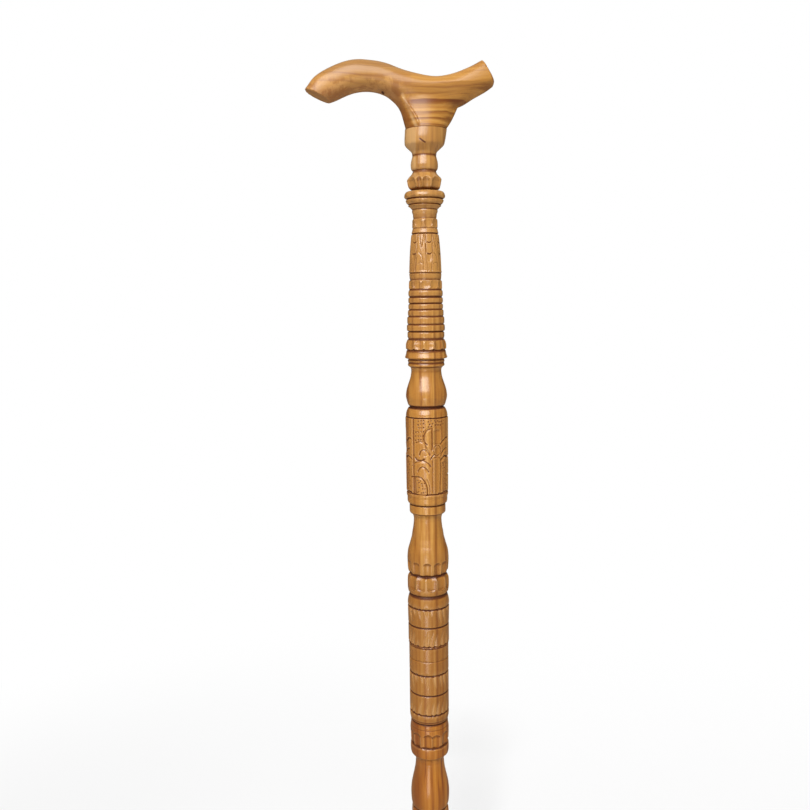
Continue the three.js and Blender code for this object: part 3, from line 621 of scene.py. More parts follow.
def carve_lower(relief, span):
    """Everything that is cut in the turned lower shaft."""
    random = relief.random
    for ring in LOWER_RINGS:
        relief.ring(*ring)
    low, _ = span["knob_arcade"]
    carve_arches(relief, low, 10.3, KNOB_ARCHES, 12.6, 1.2, 0.75, 2.6)
    for angle in ring_of(14, 8, 0.1, random):
        relief.scoop(angle, low + 0.3, 2.2, 1.3, 0.7, 0.5)
    _, high = span["knob_flutes"]
    for angle in ring_of(12, 5, 0.06, random):
        relief.flute(angle, high, high - 9.6, 2.9, 0.6, 2.2, 0.4)
    carve_chips(relief, span["band_1"], True, 20, 4, 8.6)
    carve_chips(relief, span["band_2"], False, 20, 0, 8.8)
    carve_chips(relief, span["band_4"], True, 20, 9, 8.6)
    carve_chips(relief, span["band_5"], False, 20, 2, 8.8)
    arches = ring_of(12, 0, 0.06, random)
    carve_arches(relief, span["arcade"][0], 10.0, arches, 11.5, 0.7, 0.8, 2.4)


# ---- meshes

SHARP_ANGLE = math.radians(60)


def add(name, data):
    """New object of the scene."""
    obj = bpy.data.objects.new(name, data)
    bpy.context.scene.collection.objects.link(obj)
    return obj


def new_object(name, mesh, material, body):
    """Object that rides on a body and has one material."""
    mesh.materials.clear()
    mesh.materials.append(material)
    obj = add(name, mesh)
    mesh.polygons.foreach_set("use_smooth", [True] * len(mesh.polygons))
    mesh.set_sharp_from_angle(angle=SHARP_ANGLE)
    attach(obj, body)
    return obj


def skin(name, rings, values=None, tube=False):
    """Skin over rings of (x, y, z) rows in mm: closed by two fans, or back on itself as a tube."""
    sides = len(rings[0])
    caps = [] if tube else [rings[0].mean(0), rings[-1].mean(0)]
    place = np.vstack([*rings, *caps]) * MM
    j = np.arange(sides)
    k = (j + 1) % sides
    faces = []
    for i in range(len(rings) if tube else len(rings) - 1):
        a, b = i * sides, (i + 1) % len(rings) * sides
        faces += np.stack([a + j, a + k, b + k, b + j], 1).tolist()
    if not tube:
        pole = np.full(sides, len(place) - 2)
        faces += np.stack([pole, k, j], 1).tolist()
        faces += np.stack([b + j, b + k, pole + 1], 1).tolist()
    mesh = bpy.data.meshes.new(name)
    mesh.from_pydata(place.tolist(), [], faces)
    for key, data in (values or {}).items():
        layer = mesh.attributes.new(key, "FLOAT", "POINT")
        layer.data.foreach_set("value", np.append(data.ravel(), [0, 0]))
    mesh.update()
    return mesh


def turned(radius, height, angle):
    """Ring round the axis, with one radius or one for each angle."""
    return np.stack([radius * np.sin(angle), -radius * np.cos(angle), height + 0 * angle], 1)


def lathe(name, points, columns, tube=False):
    """Turned piece from (radius, z) points, first and last near or on the axis if not a tube."""
    angle = angles_round(columns)
    return skin(name, [turned(radius, z, angle) for radius, z in points], tube=tube)


def hole_rings(steps, mouth, sense, angle):
    """Rings of a stepped hole from its mouth inwards."""
    out, before = [], 0.0
    for radius, depth in steps:
        out += [turned(radius, mouth + sense * at, angle) for at in (before, depth)]
        before = depth
    return out


def shaft_mesh(name, relief, low_hole, high_hole, lean=None):
    """Carved shaft as one closed mesh, with its scorched grooves and painted shade, and its worn
    edges with their painted highlight, as values of each point.
    """
    radius = relief.radius[:, None] - relief.cut
    rings = [turned(r, z, relief.angle) for r, z in zip(radius, relief.height)]
    if lean:
        for ring in rings:
            ring[:, 0] = lean(ring[:, 0], ring[:, 2])
    low = hole_rings(low_hole, relief.height[0], 1, relief.angle)[::-1]
    high = hole_rings(high_hole, relief.height[-1], -1, relief.angle)
    pad = (len(low), len(high)), (0, 0)
    values = {"burnt": np.pad(relief.burnt, pad), "worn": np.pad(relief.worn, pad)}
    return skin(name, low + rings + high, values)


def applied(obj, kind, **settings):
    """Mesh of an object with a modifier applied."""
    modifier = obj.modifiers.new(kind, kind)
    for key, value in settings.items():
        setattr(modifier, key, value)
    graph = bpy.context.evaluated_depsgraph_get()
    mesh = bpy.data.meshes.new_from_object(obj.evaluated_get(graph))
    obj.modifiers.clear()
    return mesh


def read(mesh, key="co"):
    """Places of a mesh's points, or their normals."""
    data = np.empty(len(mesh.vertices) * 3)
    mesh.vertices.foreach_get(key, data)
    return data.reshape(-1, 3)


def move(mesh, place):
    """Moves a mesh's points to new places."""
    mesh.vertices.foreach_set("co", place.ravel())
    mesh.update()


def relax(mesh, rounds, weight):
    """Smooths a mesh towards its neighbours, as far as each point's weight allows."""
    place = read(mesh)
    edge = np.empty(len(mesh.edges) * 2, int)
    mesh.edges.foreach_get("vertices", edge)
    a, b = edge.reshape(-1, 2).T
    count = np.bincount(a, minlength=len(place)) + np.bincount(b, minlength=len(place))
    for _ in range(rounds):
        total = np.stack([
            np.bincount(a, place[b, n], len(place)) + np.bincount(b, place[a, n], len(place))
            for n in range(3)
        ], 1)
        place += weight[:, None] * 0.5 * (total / count[:, None] - place)
    move(mesh, place)


def raise_line(mesh, points, amount, width):
    """Raises a ridge on the near side, along (x, z) points, which fades out at its ends."""
    place, normal = read(mesh), read(mesh, "normal")
    line = spline(points, 60) * MM
    best, at = np.full(len(place), 1e9), np.zeros(len(place))
    for i, (x, z) in enumerate(line):
        away = np.hypot(place[:, 0] - x, place[:, 2] - z)
        at = np.where(away < best, i / (len(line) - 1), at)
        best = np.minimum(best, away)
    lift = np.clip(1 - best / (width * MM), 0, 1) ** 1.2
    lift *= np.clip(1.15 - np.abs(2 * at - 1) ** 4, 0, 1) * np.clip(-normal[:, 1] * 3, 0, 1)
    move(mesh, place + normal * (lift * amount * MM)[:, None])


def trimmed(mesh, planes):
    """Mesh cut flat by planes, each a point and an outward direction, and closed again."""
    bm = bmesh.new()
    bm.from_mesh(mesh)
    for point, outward in planes:
        geometry = bm.verts[:] + bm.edges[:] + bm.faces[:]
        cut = bmesh.ops.bisect_plane(
            bm, geom=geometry, plane_co=point, plane_no=outward, clear_outer=True
        )
        rim = [g for g in cut["geom_cut"] if isinstance(g, bmesh.types.BMEdge)]
        bmesh.ops.holes_fill(bm, edges=rim)
    bmesh.ops.triangulate(bm, faces=[f for f in bm.faces if len(f.verts) > 4])
    out = bpy.data.meshes.new(mesh.name)
    bm.to_mesh(out)
    bm.free()
    return out


# ---- materials


class Graph:
    """Short way to write a node tree."""

    def __init__(self, tree):
        self.tree = tree

    def feed(self, node, inputs):
        """Links sockets to a node's inputs and sets plain values on them."""
        for key, value in inputs.items():
            if isinstance(value, bpy.types.NodeSocket):
                self.tree.links.new(value, node.inputs[key])
            else:
                node.inputs[key].default_value = value
        return node

    def node(self, kind, inputs=None, **settings):
        node = self.tree.nodes.new("ShaderNode" + kind)
        for key, value in settings.items():
            setattr(node, key, value)
        return self.feed(node, inputs or {})

    def math(self, operation, *values):
        return self.node("Math", dict(enumerate(values)), operation=operation).outputs[0]

    def fold(self, operation, first, *others):
        for value in others:
            first = self.math(operation, first, value)
        return first

    def plus(self, *values):
        return self.fold("ADD", *values)

    def times(self, *values):
        return self.fold("MULTIPLY", *values)

    def mix(self, factor, one, two):
        return self.node("Mix", {0: factor, 6: one, 7: two}, data_type="RGBA").outputs[2]

    def tint(self, colour, tone, share, *masks):
        """Colour with some of a screen tone, by a share of the product of the masks."""
        return self.mix(self.times(*masks, share), colour, srgb(*tone))

    def span(self, value, low, high, start=0.0, end=1.0):
        """Value between two limits, spread smoothly from start to end."""
        limits = {"From Min": low, "From Max": high, "To Min": start, "To Max": end}
        node = self.node("MapRange", {"Value": value, **limits}, interpolation_type="SMOOTHSTEP")
        return node.outputs[0]

    def place(self):
        return self.node("TexCoord").outputs["Object"]

    def split(self, place):
        return self.node("SeparateXYZ", {0: place}).outputs

    def noise(self, place, stretch, detail=3.0, roughness=0.55):
        scaled = self.node("VectorMath", {0: place, 1: stretch}, operation="MULTIPLY").outputs[0]
        look = {"Scale": 1.0, "Detail": detail, "Roughness": roughness}
        return self.node("TexNoise", {"Vector": scaled, **look}).outputs["Fac"]

    def mark(self, name):
        """Value that a mesh carries at its points."""
        return self.node("Attribute", attribute_name=name).outputs["Fac"]

    def bump(self, height, strength, distance):
        inputs = {"Strength": strength, "Distance": distance, "Height": height}
        return self.node("Bump", inputs).outputs[0]


def shared(build, inputs, outputs):
    """Shader node group that is made once, by a function that gives what goes to its outputs."""
    name = build.__name__.title()
    if name not in bpy.data.node_groups:
        tree = bpy.data.node_groups.new(name, "ShaderNodeTree")
        for way, sockets in (("INPUT", inputs), ("OUTPUT", outputs)):
            for label, kind in sockets.items():
                tree.interface.new_socket(label, in_out=way, socket_type="NodeSocket" + kind)
        given = tree.nodes.new("NodeGroupInput").outputs
        g = Graph(tree)
        g.feed(tree.nodes.new("NodeGroupOutput"), build(g, given))
    return bpy.data.node_groups[name]


def timber(g, given):
    """Figure of a close-grained wood whose fibres run along Z of the given place."""
    place = given["Place"]
    x, y, _ = g.split(place)
    warp = g.noise(place, (26, 12, 5), 2)
    depth = g.plus(g.times(x, 0.96), g.times(y, 0.28), g.times(warp, 0.006))
    turn = g.times(g.math("DIVIDE", depth, given["Ring width"]), 2 * math.pi)
    rings = g.math("POWER", g.math("MULTIPLY_ADD", g.math("SINE", turn), 0.5, 0.5), 1.6)
    broad = g.span(g.noise(place, (70, 22, 2.2), 3), 0.3, 0.7)
    streak = g.noise(place, (460, 75, 8), 4, 0.62)
    pore = g.span(g.noise(place, (1900, 420, 34), 3, 0.6), 0.56, 0.72)
    streaks = g.times(g.span(streak, 0.36, 0.68), 0.6)
    tone = g.plus(g.times(broad, 0.5), g.times(rings, 0.22), streaks)
    colour = g.mix(g.span(tone, 0.05, 0.6), given["Light"], given["Middle"])
    for share in (g.span(tone, 0.55, 1.2), g.times(pore, 0.22)):
        colour = g.mix(share, colour, given["Dark"])
    height = g.math("SUBTRACT", g.times(streak, 0.35), g.times(pore, 0.5))
    return {"Color": colour, "Fibre": pore, "Height": height}


def scorch_and_painted_light(g, given):
    """Worn edges with a painted highlight, and burnt grooves with painted shade in the broad
    hollows, over a colour: dark in the groove, with a brown edge.
    """
    # Painted highlight: a pale tone over the worn edges and the chips' facets.
    worn = g.tint(given["Color"], (222, 176, 116), 0.5, given["Worn"])
    ragged = g.span(g.noise(given["Place"], (700, 700, 500), 3), 0.1, 0.7, 0.8, 1.15)
    # The burn amount carries painted shade in the broad hollows as well as the burn.
    amount = g.times(given["Burnt"], ragged)
    colour = g.mix(g.span(amount, 0.08, 0.5), worn, srgb(118, 64, 20))
    colour = g.mix(g.span(amount, 0.4, 0.95), colour, srgb(82, 38, 10))
    return {"Color": colour, "Mask": g.span(amount, 0.2, 0.9)}


def turning(g, given):
    """Bright metal with dull clouds, and the fine marks that a lathe leaves round it."""
    cloud = g.noise(given["Place"], (160, 160, 160), 3)
    colour = g.mix(g.span(cloud, 0.35, 0.75, 0.0, 0.5), given["Bright"], given["Dull"])
    return {"Color": colour, "Marks": g.noise(given["Place"], (60, 60, 5200), 3)}


def new_material(name):
    material = bpy.data.materials.new(name)
    material.use_nodes = True
    tree = material.node_tree
    return material, Graph(tree), tree.nodes["Principled BSDF"]


def wood_material(piece, figure, cross=False, ring=0.0042, gloss=(0.78, 0.18)):
    """Lacquered wood with scorched cuts, painted shade in its hollows and painted highlights on its
    cut edges. Cross grain runs along X, other grain along Z.
    """
    material, g, shader = new_material(piece.title() + " wood")
    place = g.place()
    x, y, z = g.split(place)
    if cross:
        sway = g.times(g.noise(place, (22, 40, 40), 2), 0.011)
        place = g.node("CombineXYZ", {0: g.plus(z, sway), 1: y, 2: x}).outputs[0]
    settings = bpy.context.scene.stick_timber
    tones = {shade.title(): getattr(settings, f"{piece}_{shade}") for shade in SHADES}
    sockets = {"Place": "Vector", **dict.fromkeys(tones, "Color"), "Ring width": "Float"}
    tree = shared(timber, sockets, {"Color": "Color", "Fibre": "Float", "Height": "Float"})
    wood = g.node("Group", {"Place": place, **tones, "Ring width": ring}, node_tree=tree).outputs
    colour = figure(g, wood["Color"], place, x, z)
    sockets = {"Color": "Color", "Place": "Vector", "Burnt": "Float", "Worn": "Float"}
    tree = shared(scorch_and_painted_light, sockets, {"Color": "Color", "Mask": "Float"})
    marks = {"Burnt": g.mark("burnt"), "Worn": g.mark("worn")}
    burnt = g.node("Group", {"Color": colour, "Place": place, **marks}, node_tree=tree).outputs
    g.feed(shader, {
        "Base Color": burnt["Color"],
        "Roughness": g.plus(g.times(wood["Fibre"], 0.08), 0.34, g.times(burnt["Mask"], 0.2)),
        "Normal": g.bump(wood["Height"], 0.22, 0.0002),
        "Coat Weight": g.span(burnt["Mask"], 0.0, 0.8, gloss[0], 0.1),
        "Coat Roughness": gloss[1],
        "Coat IOR": 1.6,
        "Specular IOR Level": 0.4,
    })
    return material


def upper_figure(g, colour, place, x, z):
    """Painted light along the height, lighter towards the top and darker from the panel's foot
    down, a sapwood strip on the left of the collar and a darker line down the right of the front.
    """
    # Painted light: lighter towards the top; painted shade: darker from the panel's foot down.
    colour = g.mix(g.span(z, 0.69, 0.81, 0.0, 0.28), colour, srgb(206, 162, 98))
    colour = g.mix(g.span(z, 0.63, 0.54, 0.0, 0.5), colour, srgb(134, 80, 26))
    strip = g.span(x, -0.0052, -0.0062), g.span(z, 0.838, 0.848)
    colour = g.tint(colour, (222, 180, 124), 0.5, *strip)
    wander = g.times(g.noise(place, (30, 30, 8), 2), 0.0016)
    line = g.math("ABSOLUTE", g.plus(x, wander, -0.0062))
    seam = g.span(line, 0.0013, 0.0001), g.span(z, 0.77, 0.73)
    return g.tint(colour, (112, 58, 18), 0.6, *seam)


def lower_figure(g, colour, place, x, z):
    """Redder heartwood on the left."""
    wander = g.times(g.noise(place, (70, 70, 7), 3), 0.012)
    return g.tint(colour, (116, 52, 12), 0.65, g.span(g.plus(x, wander), 0.003, -0.004))


# Brown stripes of the stem: height, how far down each fades, and strength.
HANDLE_STRIPES = (
    (0.8872, 0.006, 1.0), (0.8799, 0.0022, 0.85), (0.876, 0.0028, 0.8), (0.8718, 0.0024, 0.65),
)
# Flat ends of the grip: a point and the outward direction as (x, z), tone and its share.
HANDLE_ENDS = (
    ((-0.0689, 0.89196), (-0.42211, -0.90654), (186, 132, 72), 0.5),
    ((0.04112, 0.90471), (0.89811, 0.43978), (150, 92, 38), 0.7),
)


def handle_figure(g, colour, place, x, z):
    """Brown stripes between layers of the grain, painted shade in the throat, a paler grip that is
    partly painted fill light, a painted highlight down the stem's ridge, brown patches, painted
    shade on the grip's top, and darker ends.
    """
    level = g.plus(z, g.times(g.noise(place, (90, 60, 14), 3), 0.004))
    blotch = g.span(g.noise(place, (210, 120, 50), 3), 0.3, 0.6, 0.55, 1.0)
    for height, below, strength in HANDLE_STRIPES:
        down = g.math("SUBTRACT", height + 0.002, level)
        edges = g.span(down, -0.0003, 0.0003), g.span(down, below, 0.0003)
        stem = g.span(x, -0.013, -0.007)
        colour = g.tint(colour, (120, 62, 16), strength, *edges, stem, blotch)
    flank = g.math("MULTIPLY_ADD", g.plus(z, -0.873), 0.42, x)
    # Painted shade in the throat under the grip, along the stem's left flank.
    throat = g.span(flank, -0.0074, -0.0092), g.span(z, 0.898, 0.89)
    colour = g.tint(colour, (128, 68, 20), 0.7, *throat)
    # Painted highlight: a pale streak down the ridge on the stem's left flank.
    streak = g.span(flank, -0.008, -0.0068), g.span(flank, -0.0048, -0.0064)
    colour = g.tint(colour, (232, 198, 150), 0.4, *streak, g.span(z, 0.893, 0.889), blotch)
    # Paler lower grip: partly lighter wood, partly painted fill light where the lamps leave it dim.
    grip = g.span(x, -0.01, -0.022), g.span(z, 0.906, 0.893)
    colour = g.tint(colour, (226, 174, 112), 0.3, *grip)
    patch = g.span(g.noise(place, (110, 130, 190), 5, 0.65), 0.42, 0.56)
    below = g.span(z, 0.906, 0.896), g.span(x, 0.0, -0.016)
    colour = g.tint(colour, (148, 88, 34), 0.6, patch, *below)
    # Painted shade: the top of the grip darker and greyer, against the strong light from above.
    top_shade = g.span(z, 0.8985, 0.908), g.span(x, 0.006, -0.014)
    colour = g.tint(colour, (152, 114, 72), 0.45, *top_shade)
    for (px, pz), (nx, nz), tone, share in HANDLE_ENDS:
        over = g.plus(g.times(g.plus(x, -px), nx), g.times(g.plus(z, -pz), nz))
        colour = g.tint(colour, tone, share, g.span(over, -0.0007, -0.0002))
    return colour


def metal_material(name, bright, dull, roughness):
    """Machined metal with turning marks round the axis."""
    material, g, shader = new_material(name)
    sockets = {"Place": "Vector", "Bright": "Color", "Dull": "Color"}
    tree = shared(turning, sockets, {"Color": "Color", "Marks": "Float"})
    inputs = {"Place": g.place(), "Bright": bright, "Dull": dull}
    metal = g.node("Group", inputs, node_tree=tree).outputs
    g.feed(shader, {
        "Base Color": metal["Color"],
        "Roughness": g.math("MULTIPLY_ADD", metal["Marks"], 0.18, roughness - 0.05),
        "Normal": g.bump(metal["Marks"], 0.15, 0.00005),
        "Metallic": 1.0,
    })
    return material


def rubber_material(name, colour, dust):
    """Moulded rubber with a fine grain and dust near the ground."""
    material, g, shader = new_material(name)
    place = g.place()
    cloud = g.noise(place, (130, 130, 130), 4)
    low = g.times(g.span(g.split(place)[2], 0.016, 0.0), g.span(cloud, 0.35, 0.75), 0.55)
    g.feed(shader, {
        "Base Color": g.mix(low, colour, dust),
        "Roughness": g.span(cloud, 0.2, 0.8, 0.5, 0.72),
        "Normal": g.bump(g.noise(place, (2400, 2400, 2400), 2), 0.3, 0.0001),
        "Specular IOR Level": 0.35,
    })
    return material


# ---- settings

SHADES = ("light", "middle", "dark")


def setting(kind, name, description, default, **limits):
    return kind(name=name, description=description, default=default, **limits)


def swatch(name, description, default):
    limits = {"size": 4, "subtype": "COLOR", "min": 0, "max": 1}
    return setting(FloatVectorProperty, name, description, default, **limits)


def number(name, description, default, **limits):
    return setting(FloatProperty, name, description, default, **limits)


class StickTimber(bpy.types.PropertyGroup):
    """Woods of the stick: three shades for each piece, as wood_material() looks them up"""

    handle_light: swatch("Handle, light", "Lightest wood of the handle", srgb(202, 150, 74))
    handle_middle: swatch("Handle, middle", "Usual wood of the handle", srgb(184, 128, 54))
    handle_dark: swatch("Handle, dark", "Darkest figure of the handle", srgb(148, 92, 35))
    upper_light: swatch("Upper, light", "Lightest wood of the upper shaft", srgb(204, 149, 72))
    upper_middle: swatch("Upper, middle", "Usual wood of the upper shaft", srgb(180, 121, 49))
    upper_dark: swatch("Upper, dark", "Darkest figure of the upper shaft", srgb(138, 78, 22))
    lower_light: swatch("Lower, light", "Lightest wood of the lower shaft", srgb(190, 126, 46))
    lower_middle: swatch("Lower, middle", "Usual wood of the lower shaft", srgb(170, 104, 29))
    lower_dark: swatch("Lower, dark", "Darkest figure of the lower shaft", srgb(122, 58, 12))


class StickCarving(bpy.types.PropertyGroup):
    """How finely the turned pieces are built"""

    upper_columns: setting(
        IntProperty, "Upper columns", "Points round the upper shaft", 256, min=48
    )
    lower_columns: setting(
        IntProperty, "Lower columns", "Points round the lower shaft", 200, min=48
    )
    fine_step: number("Carved step", "Between rows in carved bands, in mm", 0.33, min=0.1)
    plain_step: number("Plain step", "Between rows in plain bands, in mm", 0.8, min=0.2)
    handle_cell: number(
        "Handle cell", "Cells that the handle is meshed with", 0.0006, min=0.0002, unit="LENGTH"
    )


class StickMetal(bpy.types.PropertyGroup):
    """Hidden fittings and the rubber tip"""

    steel: swatch("Steel", "Studs and disc", (0.52, 0.53, 0.55, 1))
    brass: swatch("Brass", "Threaded inserts", srgb(206, 164, 84))
    rubber: swatch("Rubber", "Tip", srgb(30, 29, 27))
    thread_pitch: number("Thread pitch", "Rise of the thread in a turn", 0.0015, unit="LENGTH")


class StickStage(bpy.types.PropertyGroup):
    """Floor, light and camera"""

    floor: swatch("Floor", "Colour of the floor", (0.8, 0.8, 0.8, 1))
    eye_height: number("Eye height", "Height of the camera", 0.75897, unit="LENGTH")
    distance: number("Distance", "From the camera to the stick", 0.54, unit="LENGTH")
    aside: number("Aside", "Camera to the left of the stick", 0.0147, unit="LENGTH")
    pitch: number("Pitch", "Camera looks down", math.radians(7.336), subtype="ANGLE")
    roll: number("Roll", "Camera turns on its view", math.radians(0.74), subtype="ANGLE")
    lens: number("Lens", "Focal length on a 36 mm sensor", 35.556, unit="CAMERA")
    key: number("Key", "Power of the softbox", 17, unit="POWER")
    gloss: number("Window", "Power of the window in the gloss", 5, unit="POWER")
    low_gloss: number("Low card", "Power of the low card in the gloss", 2.2, unit="POWER")
    high: number("High lamp", "Strength of the high lamp", 1.2)


# ---- shafts

UPPER_PLAIN = ("bulb", "barrel_rim", "pear", "throat", "band_3", "band_4")
LOWER_PLAIN = ("knob_vase", "vase", "shoulder", "band_3")
LOWER_STEPS = {"taper": 3.0, "foot": 1.5}
UPPER_SEED, LOWER_SEED = 11, 23
COLLAR_SEAM, COLLAR_FLARE = 3.2, 0.038


def shaft_outline(node, bands, start, sense, plain):
    """Outline of a shaft node with rows close together in carved bands, and its bands."""
    height, radius = node_outline(node)
    span = {name: sorted(start + sense * at for at in ends) for name, ends in bands.items()}
    ends = sorted((start, start + sense * max(end for _, end in bands.values())))
    if np.abs(height[[0, -1]] - ends).max() > BAND_SLACK:
        raise RuntimeError(f"{node}: its bands no longer match the packed model")
    fine = bpy.context.scene.stick_carving.fine_step

    def step_at(z):
        step = np.full(np.shape(z), fine)
        for name, size in plain.items():
            low, high = span[name]
            step = np.where((z > low + 0.5) & (z < high - 0.5), size, step)
        return step

    return *fine_outline(height, radius, step_at), span


class STICK_OT_upper_shaft(bpy.types.Operator):
    """Build the carved upper shaft"""

    bl_idname = "stick.upper_shaft"
    bl_label = "Upper shaft"

    def execute(self, context):
        carving = context.scene.stick_carving
        low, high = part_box("upper_shaft")
        base, top = low[2] / MM, high[2] / MM
        plain = dict.fromkeys(UPPER_PLAIN, carving.plain_step)
        height, radius, span = shaft_outline("upper_shaft", UPPER_BANDS, base, 1, plain)
        radius = radius + np.interp(height, *np.array(UPPER_TRIM, float).T)
        radius = eased(height, radius, *EASED)
        relief = Relief(height, radius, carving.upper_columns, UPPER_SEED)
        carve_upper(relief, span)
        relief.settle()
        seam = span["collar"][0] + COLLAR_SEAM
        widest = relief.radius[relief.height > seam].max()
        shift = high[0] / MM - widest * (1 + COLLAR_FLARE)

        def lean(x, z):
            share = np.clip((z - seam) / (top - seam), 0, 1)
            return x * (1 + share * COLLAR_FLARE) + share * shift

        mesh = shaft_mesh("upper_shaft_carved", relief, INSERT_HOLE, STUD_HOLE, lean)
        wood = wood_material("upper", upper_figure)
        obj = new_object("upper_shaft_carved", mesh, wood, "upper_section")
        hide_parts("upper_shaft")
        return {"FINISHED"}


class STICK_OT_lower_shaft(bpy.types.Operator):
    """Build the carved lower shaft"""

    bl_idname = "stick.lower_shaft"
    bl_label = "Lower shaft"

    def execute(self, context):
        carving = context.scene.stick_carving
        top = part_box("lower_shaft")[1][2] / MM
        plain = {**dict.fromkeys(LOWER_PLAIN, carving.plain_step), **LOWER_STEPS}
        height, radius, span = shaft_outline("lower_shaft", LOWER_BANDS, top, -1, plain)
        relief = Relief(height, radius, carving.lower_columns, LOWER_SEED)
        carve_lower(relief, span)
        relief.settle()
        mesh = shaft_mesh("lower_shaft_carved", relief, (), INSERT_HOLE)
        wood = wood_material("lower", lower_figure)
        obj = new_object("lower_shaft_carved", mesh, wood, "lower_section")
        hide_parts("lower_shaft")
        return {"FINISHED"}


# ---- handle

SECTION_SIDES = 96
# Squareness of the grip's sections, how much it grows and where, and that of the stem's.
GRIP_SQUARE, TAIL_SQUARE, SQUARE_FROM, STEM_SQUARE = 2.5, 1.0, 0.72, 2.05
# How far the grip runs out past its end faces, in sections, and the stem below its seam.
GRIP_SPARE, STEM_SPARE = 1.6, 1.5
# The tail's cut lies short of the end and is lifted.
TAIL_SHORT, TAIL_LIFT = 1.0, 0.09
# The junction, where most smoothing goes: height over the seam, reach, left and right ends, fade.
BLEND_HEIGHT, BLEND_REACH, BLEND_LEFT, BLEND_RIGHT, BLEND_FADE = 19, 13, -38, 22, 8
BLEND_ROUNDS, EVEN_ROUNDS, FINE_SHARE = 60, 4, 0.85
# How far below its base the stem is cut first and last, and the stud's bore: radius and depth.
SEAM_SPARE, SEAM_GAP = 1.2, 0.28
STUD_BORE = (4.3, 26.3)
# Slant of the near face, by the height over the seam: its ridge, its strength and its sink.
SLANT_RIDGE = (0, 6, 13, 20), (-2.5, -5, -9.5, -15)
SLANT_SHARE = (0, 4, 12, 20, 27), (0, 0.6, 1, 0.8, 0)
SLANT_SINK = (0, 4, 24), (0.2, 1, 0)
SLANT_SLOPE = 0.11
# Nick: place from the seam, reach on each axis, size, and how deep it goes.
NICK_PLACE, NICK_REACH, NICK_SIZE, NICK_DEPTH = (-26.4, -2.5, 22.2), (0.8, 2.2, 1.6), 1.5, 0.8


def level_plane(height):
    """Point and downward direction of a level cut."""
    return Vector((0, 0, height * MM)), Vector((0, 0, -1))


def section(centre, along, across, squareness):
    """Ring of a rounded square section."""
    angle = np.arange(SECTION_SIDES) / SECTION_SIDES * 2 * math.pi

    def soften(value):
        return (np.sign(value) * np.abs(value) ** (2 / squareness))[:, None]

    return centre + soften(np.cos(angle)) * along + soften(np.sin(angle)) * across


def grip_rings(base):
    """Sections along the grip, run out a little past both of its end faces."""
    table = spline(GRIP_STATIONS, 110)
    rings = []
    for i, (top_x, top_z, base_x, base_z, width) in enumerate(table):
        top = np.array([top_x * HANDLE_LENGTH, 0, base + top_z * HANDLE_RISE])
        low = np.array([base_x * HANDLE_LENGTH, 0, base + base_z * HANDLE_RISE])
        centre = (top + low) / 2
        share = i / (len(table) - 1)
        late = max(0, (share - SQUARE_FROM) / (1 - SQUARE_FROM))
        square = GRIP_SQUARE + TAIL_SQUARE * late**1.5
        across = np.array([0, width * GRIP_WIDTH / 2, 0])
        rings.append(section(centre, top - centre, across, square))
    rings.insert(0, rings[0] + (rings[0] - rings[1]) * GRIP_SPARE)
    rings.append(rings[-1] + (rings[-1] - rings[-2]) * GRIP_SPARE)
    return rings


def stem_rings(base):
    """Sections of the stem from just under the seam into the grip."""
    table = np.array(STEM_RINGS)
    heights = np.linspace(0, table[-1, 0], 40)
    left, right, depth = (curve_through(table[:, 0], table[:, n], heights) for n in (1, 2, 3))
    rings = []
    for h, l, r, d in zip(heights, left * STEM_REACH, right * STEM_REACH, depth * STEM_REACH):
        centre = np.array([(r - l) / 2, 0, base + h * HANDLE_RISE])
        along, across = np.array([(l + r) / 2, 0, 0]), np.array([0, d, 0])
        rings.append(section(centre, along, across, STEM_SQUARE))
    rings.insert(0, rings[0] - np.array([0, 0, STEM_SPARE]))
    return rings


def end_plane(ring, inner, short=0.0, lift=0.0):
    """Point and outward direction of the flat cut at one end of the grip.

    The cut can lie a little short of the end, and its direction can be lifted.
    """
    centre = ring.mean(0)
    normal = np.cross(ring[0] - centre, ring[len(ring) // 4] - centre)
    normal /= np.linalg.norm(normal)
    if normal @ (centre - inner.mean(0)) < 0:
        normal = -normal
    normal = normal + [0, 0, lift]
    normal /= np.linalg.norm(normal)
    return Vector((centre - short * normal) * MM), Vector(normal)


def handle_block(grip, stem):
    """Grip and stem as two skins that reach into each other."""
    rough = bpy.data.meshes.new("handle_block")
    bm = bmesh.new()
    for part in (skin("grip", grip), skin("stem", stem)):
        bm.from_mesh(part)
        bpy.data.meshes.remove(part)
    bmesh.ops.recalc_face_normals(bm, faces=bm.faces[:])
    bm.to_mesh(rough)
    bm.free()
    return rough


def slant(mesh, base):
    """Turns the near face of the stem a little to the right, from its ridge on."""
    place = read(mesh)
    x, y, z = place.T / MM
    ridge, share, sink = (
        np.interp(z - base, *curve) for curve in (SLANT_RIDGE, SLANT_SHARE, SLANT_SINK)
    )
    turn = np.clip(x - ridge, 0, 30) * SLANT_SLOPE * share + sink * (x > ridge)
    place[:, 1] += turn * np.clip(-y / 6, 0, 1) * MM
    move(mesh, place)


def nick(mesh, base):
    """Small dark nick under the grip."""
    place = read(mesh)
    x, y, z = NICK_PLACE
    spot = np.array([x, y, base + z]) * MM
    away = np.linalg.norm((place - spot) / np.array(NICK_REACH), axis=1)
    amount = np.clip(1 - away / (NICK_SIZE * MM), 0, 1)
    layer = mesh.attributes.new("burnt", "FLOAT", "POINT")
    layer.data.foreach_set("value", np.clip(amount * 2.2, 0, 1))
    place[:, 2] += amount * NICK_DEPTH * MM
    move(mesh, place)


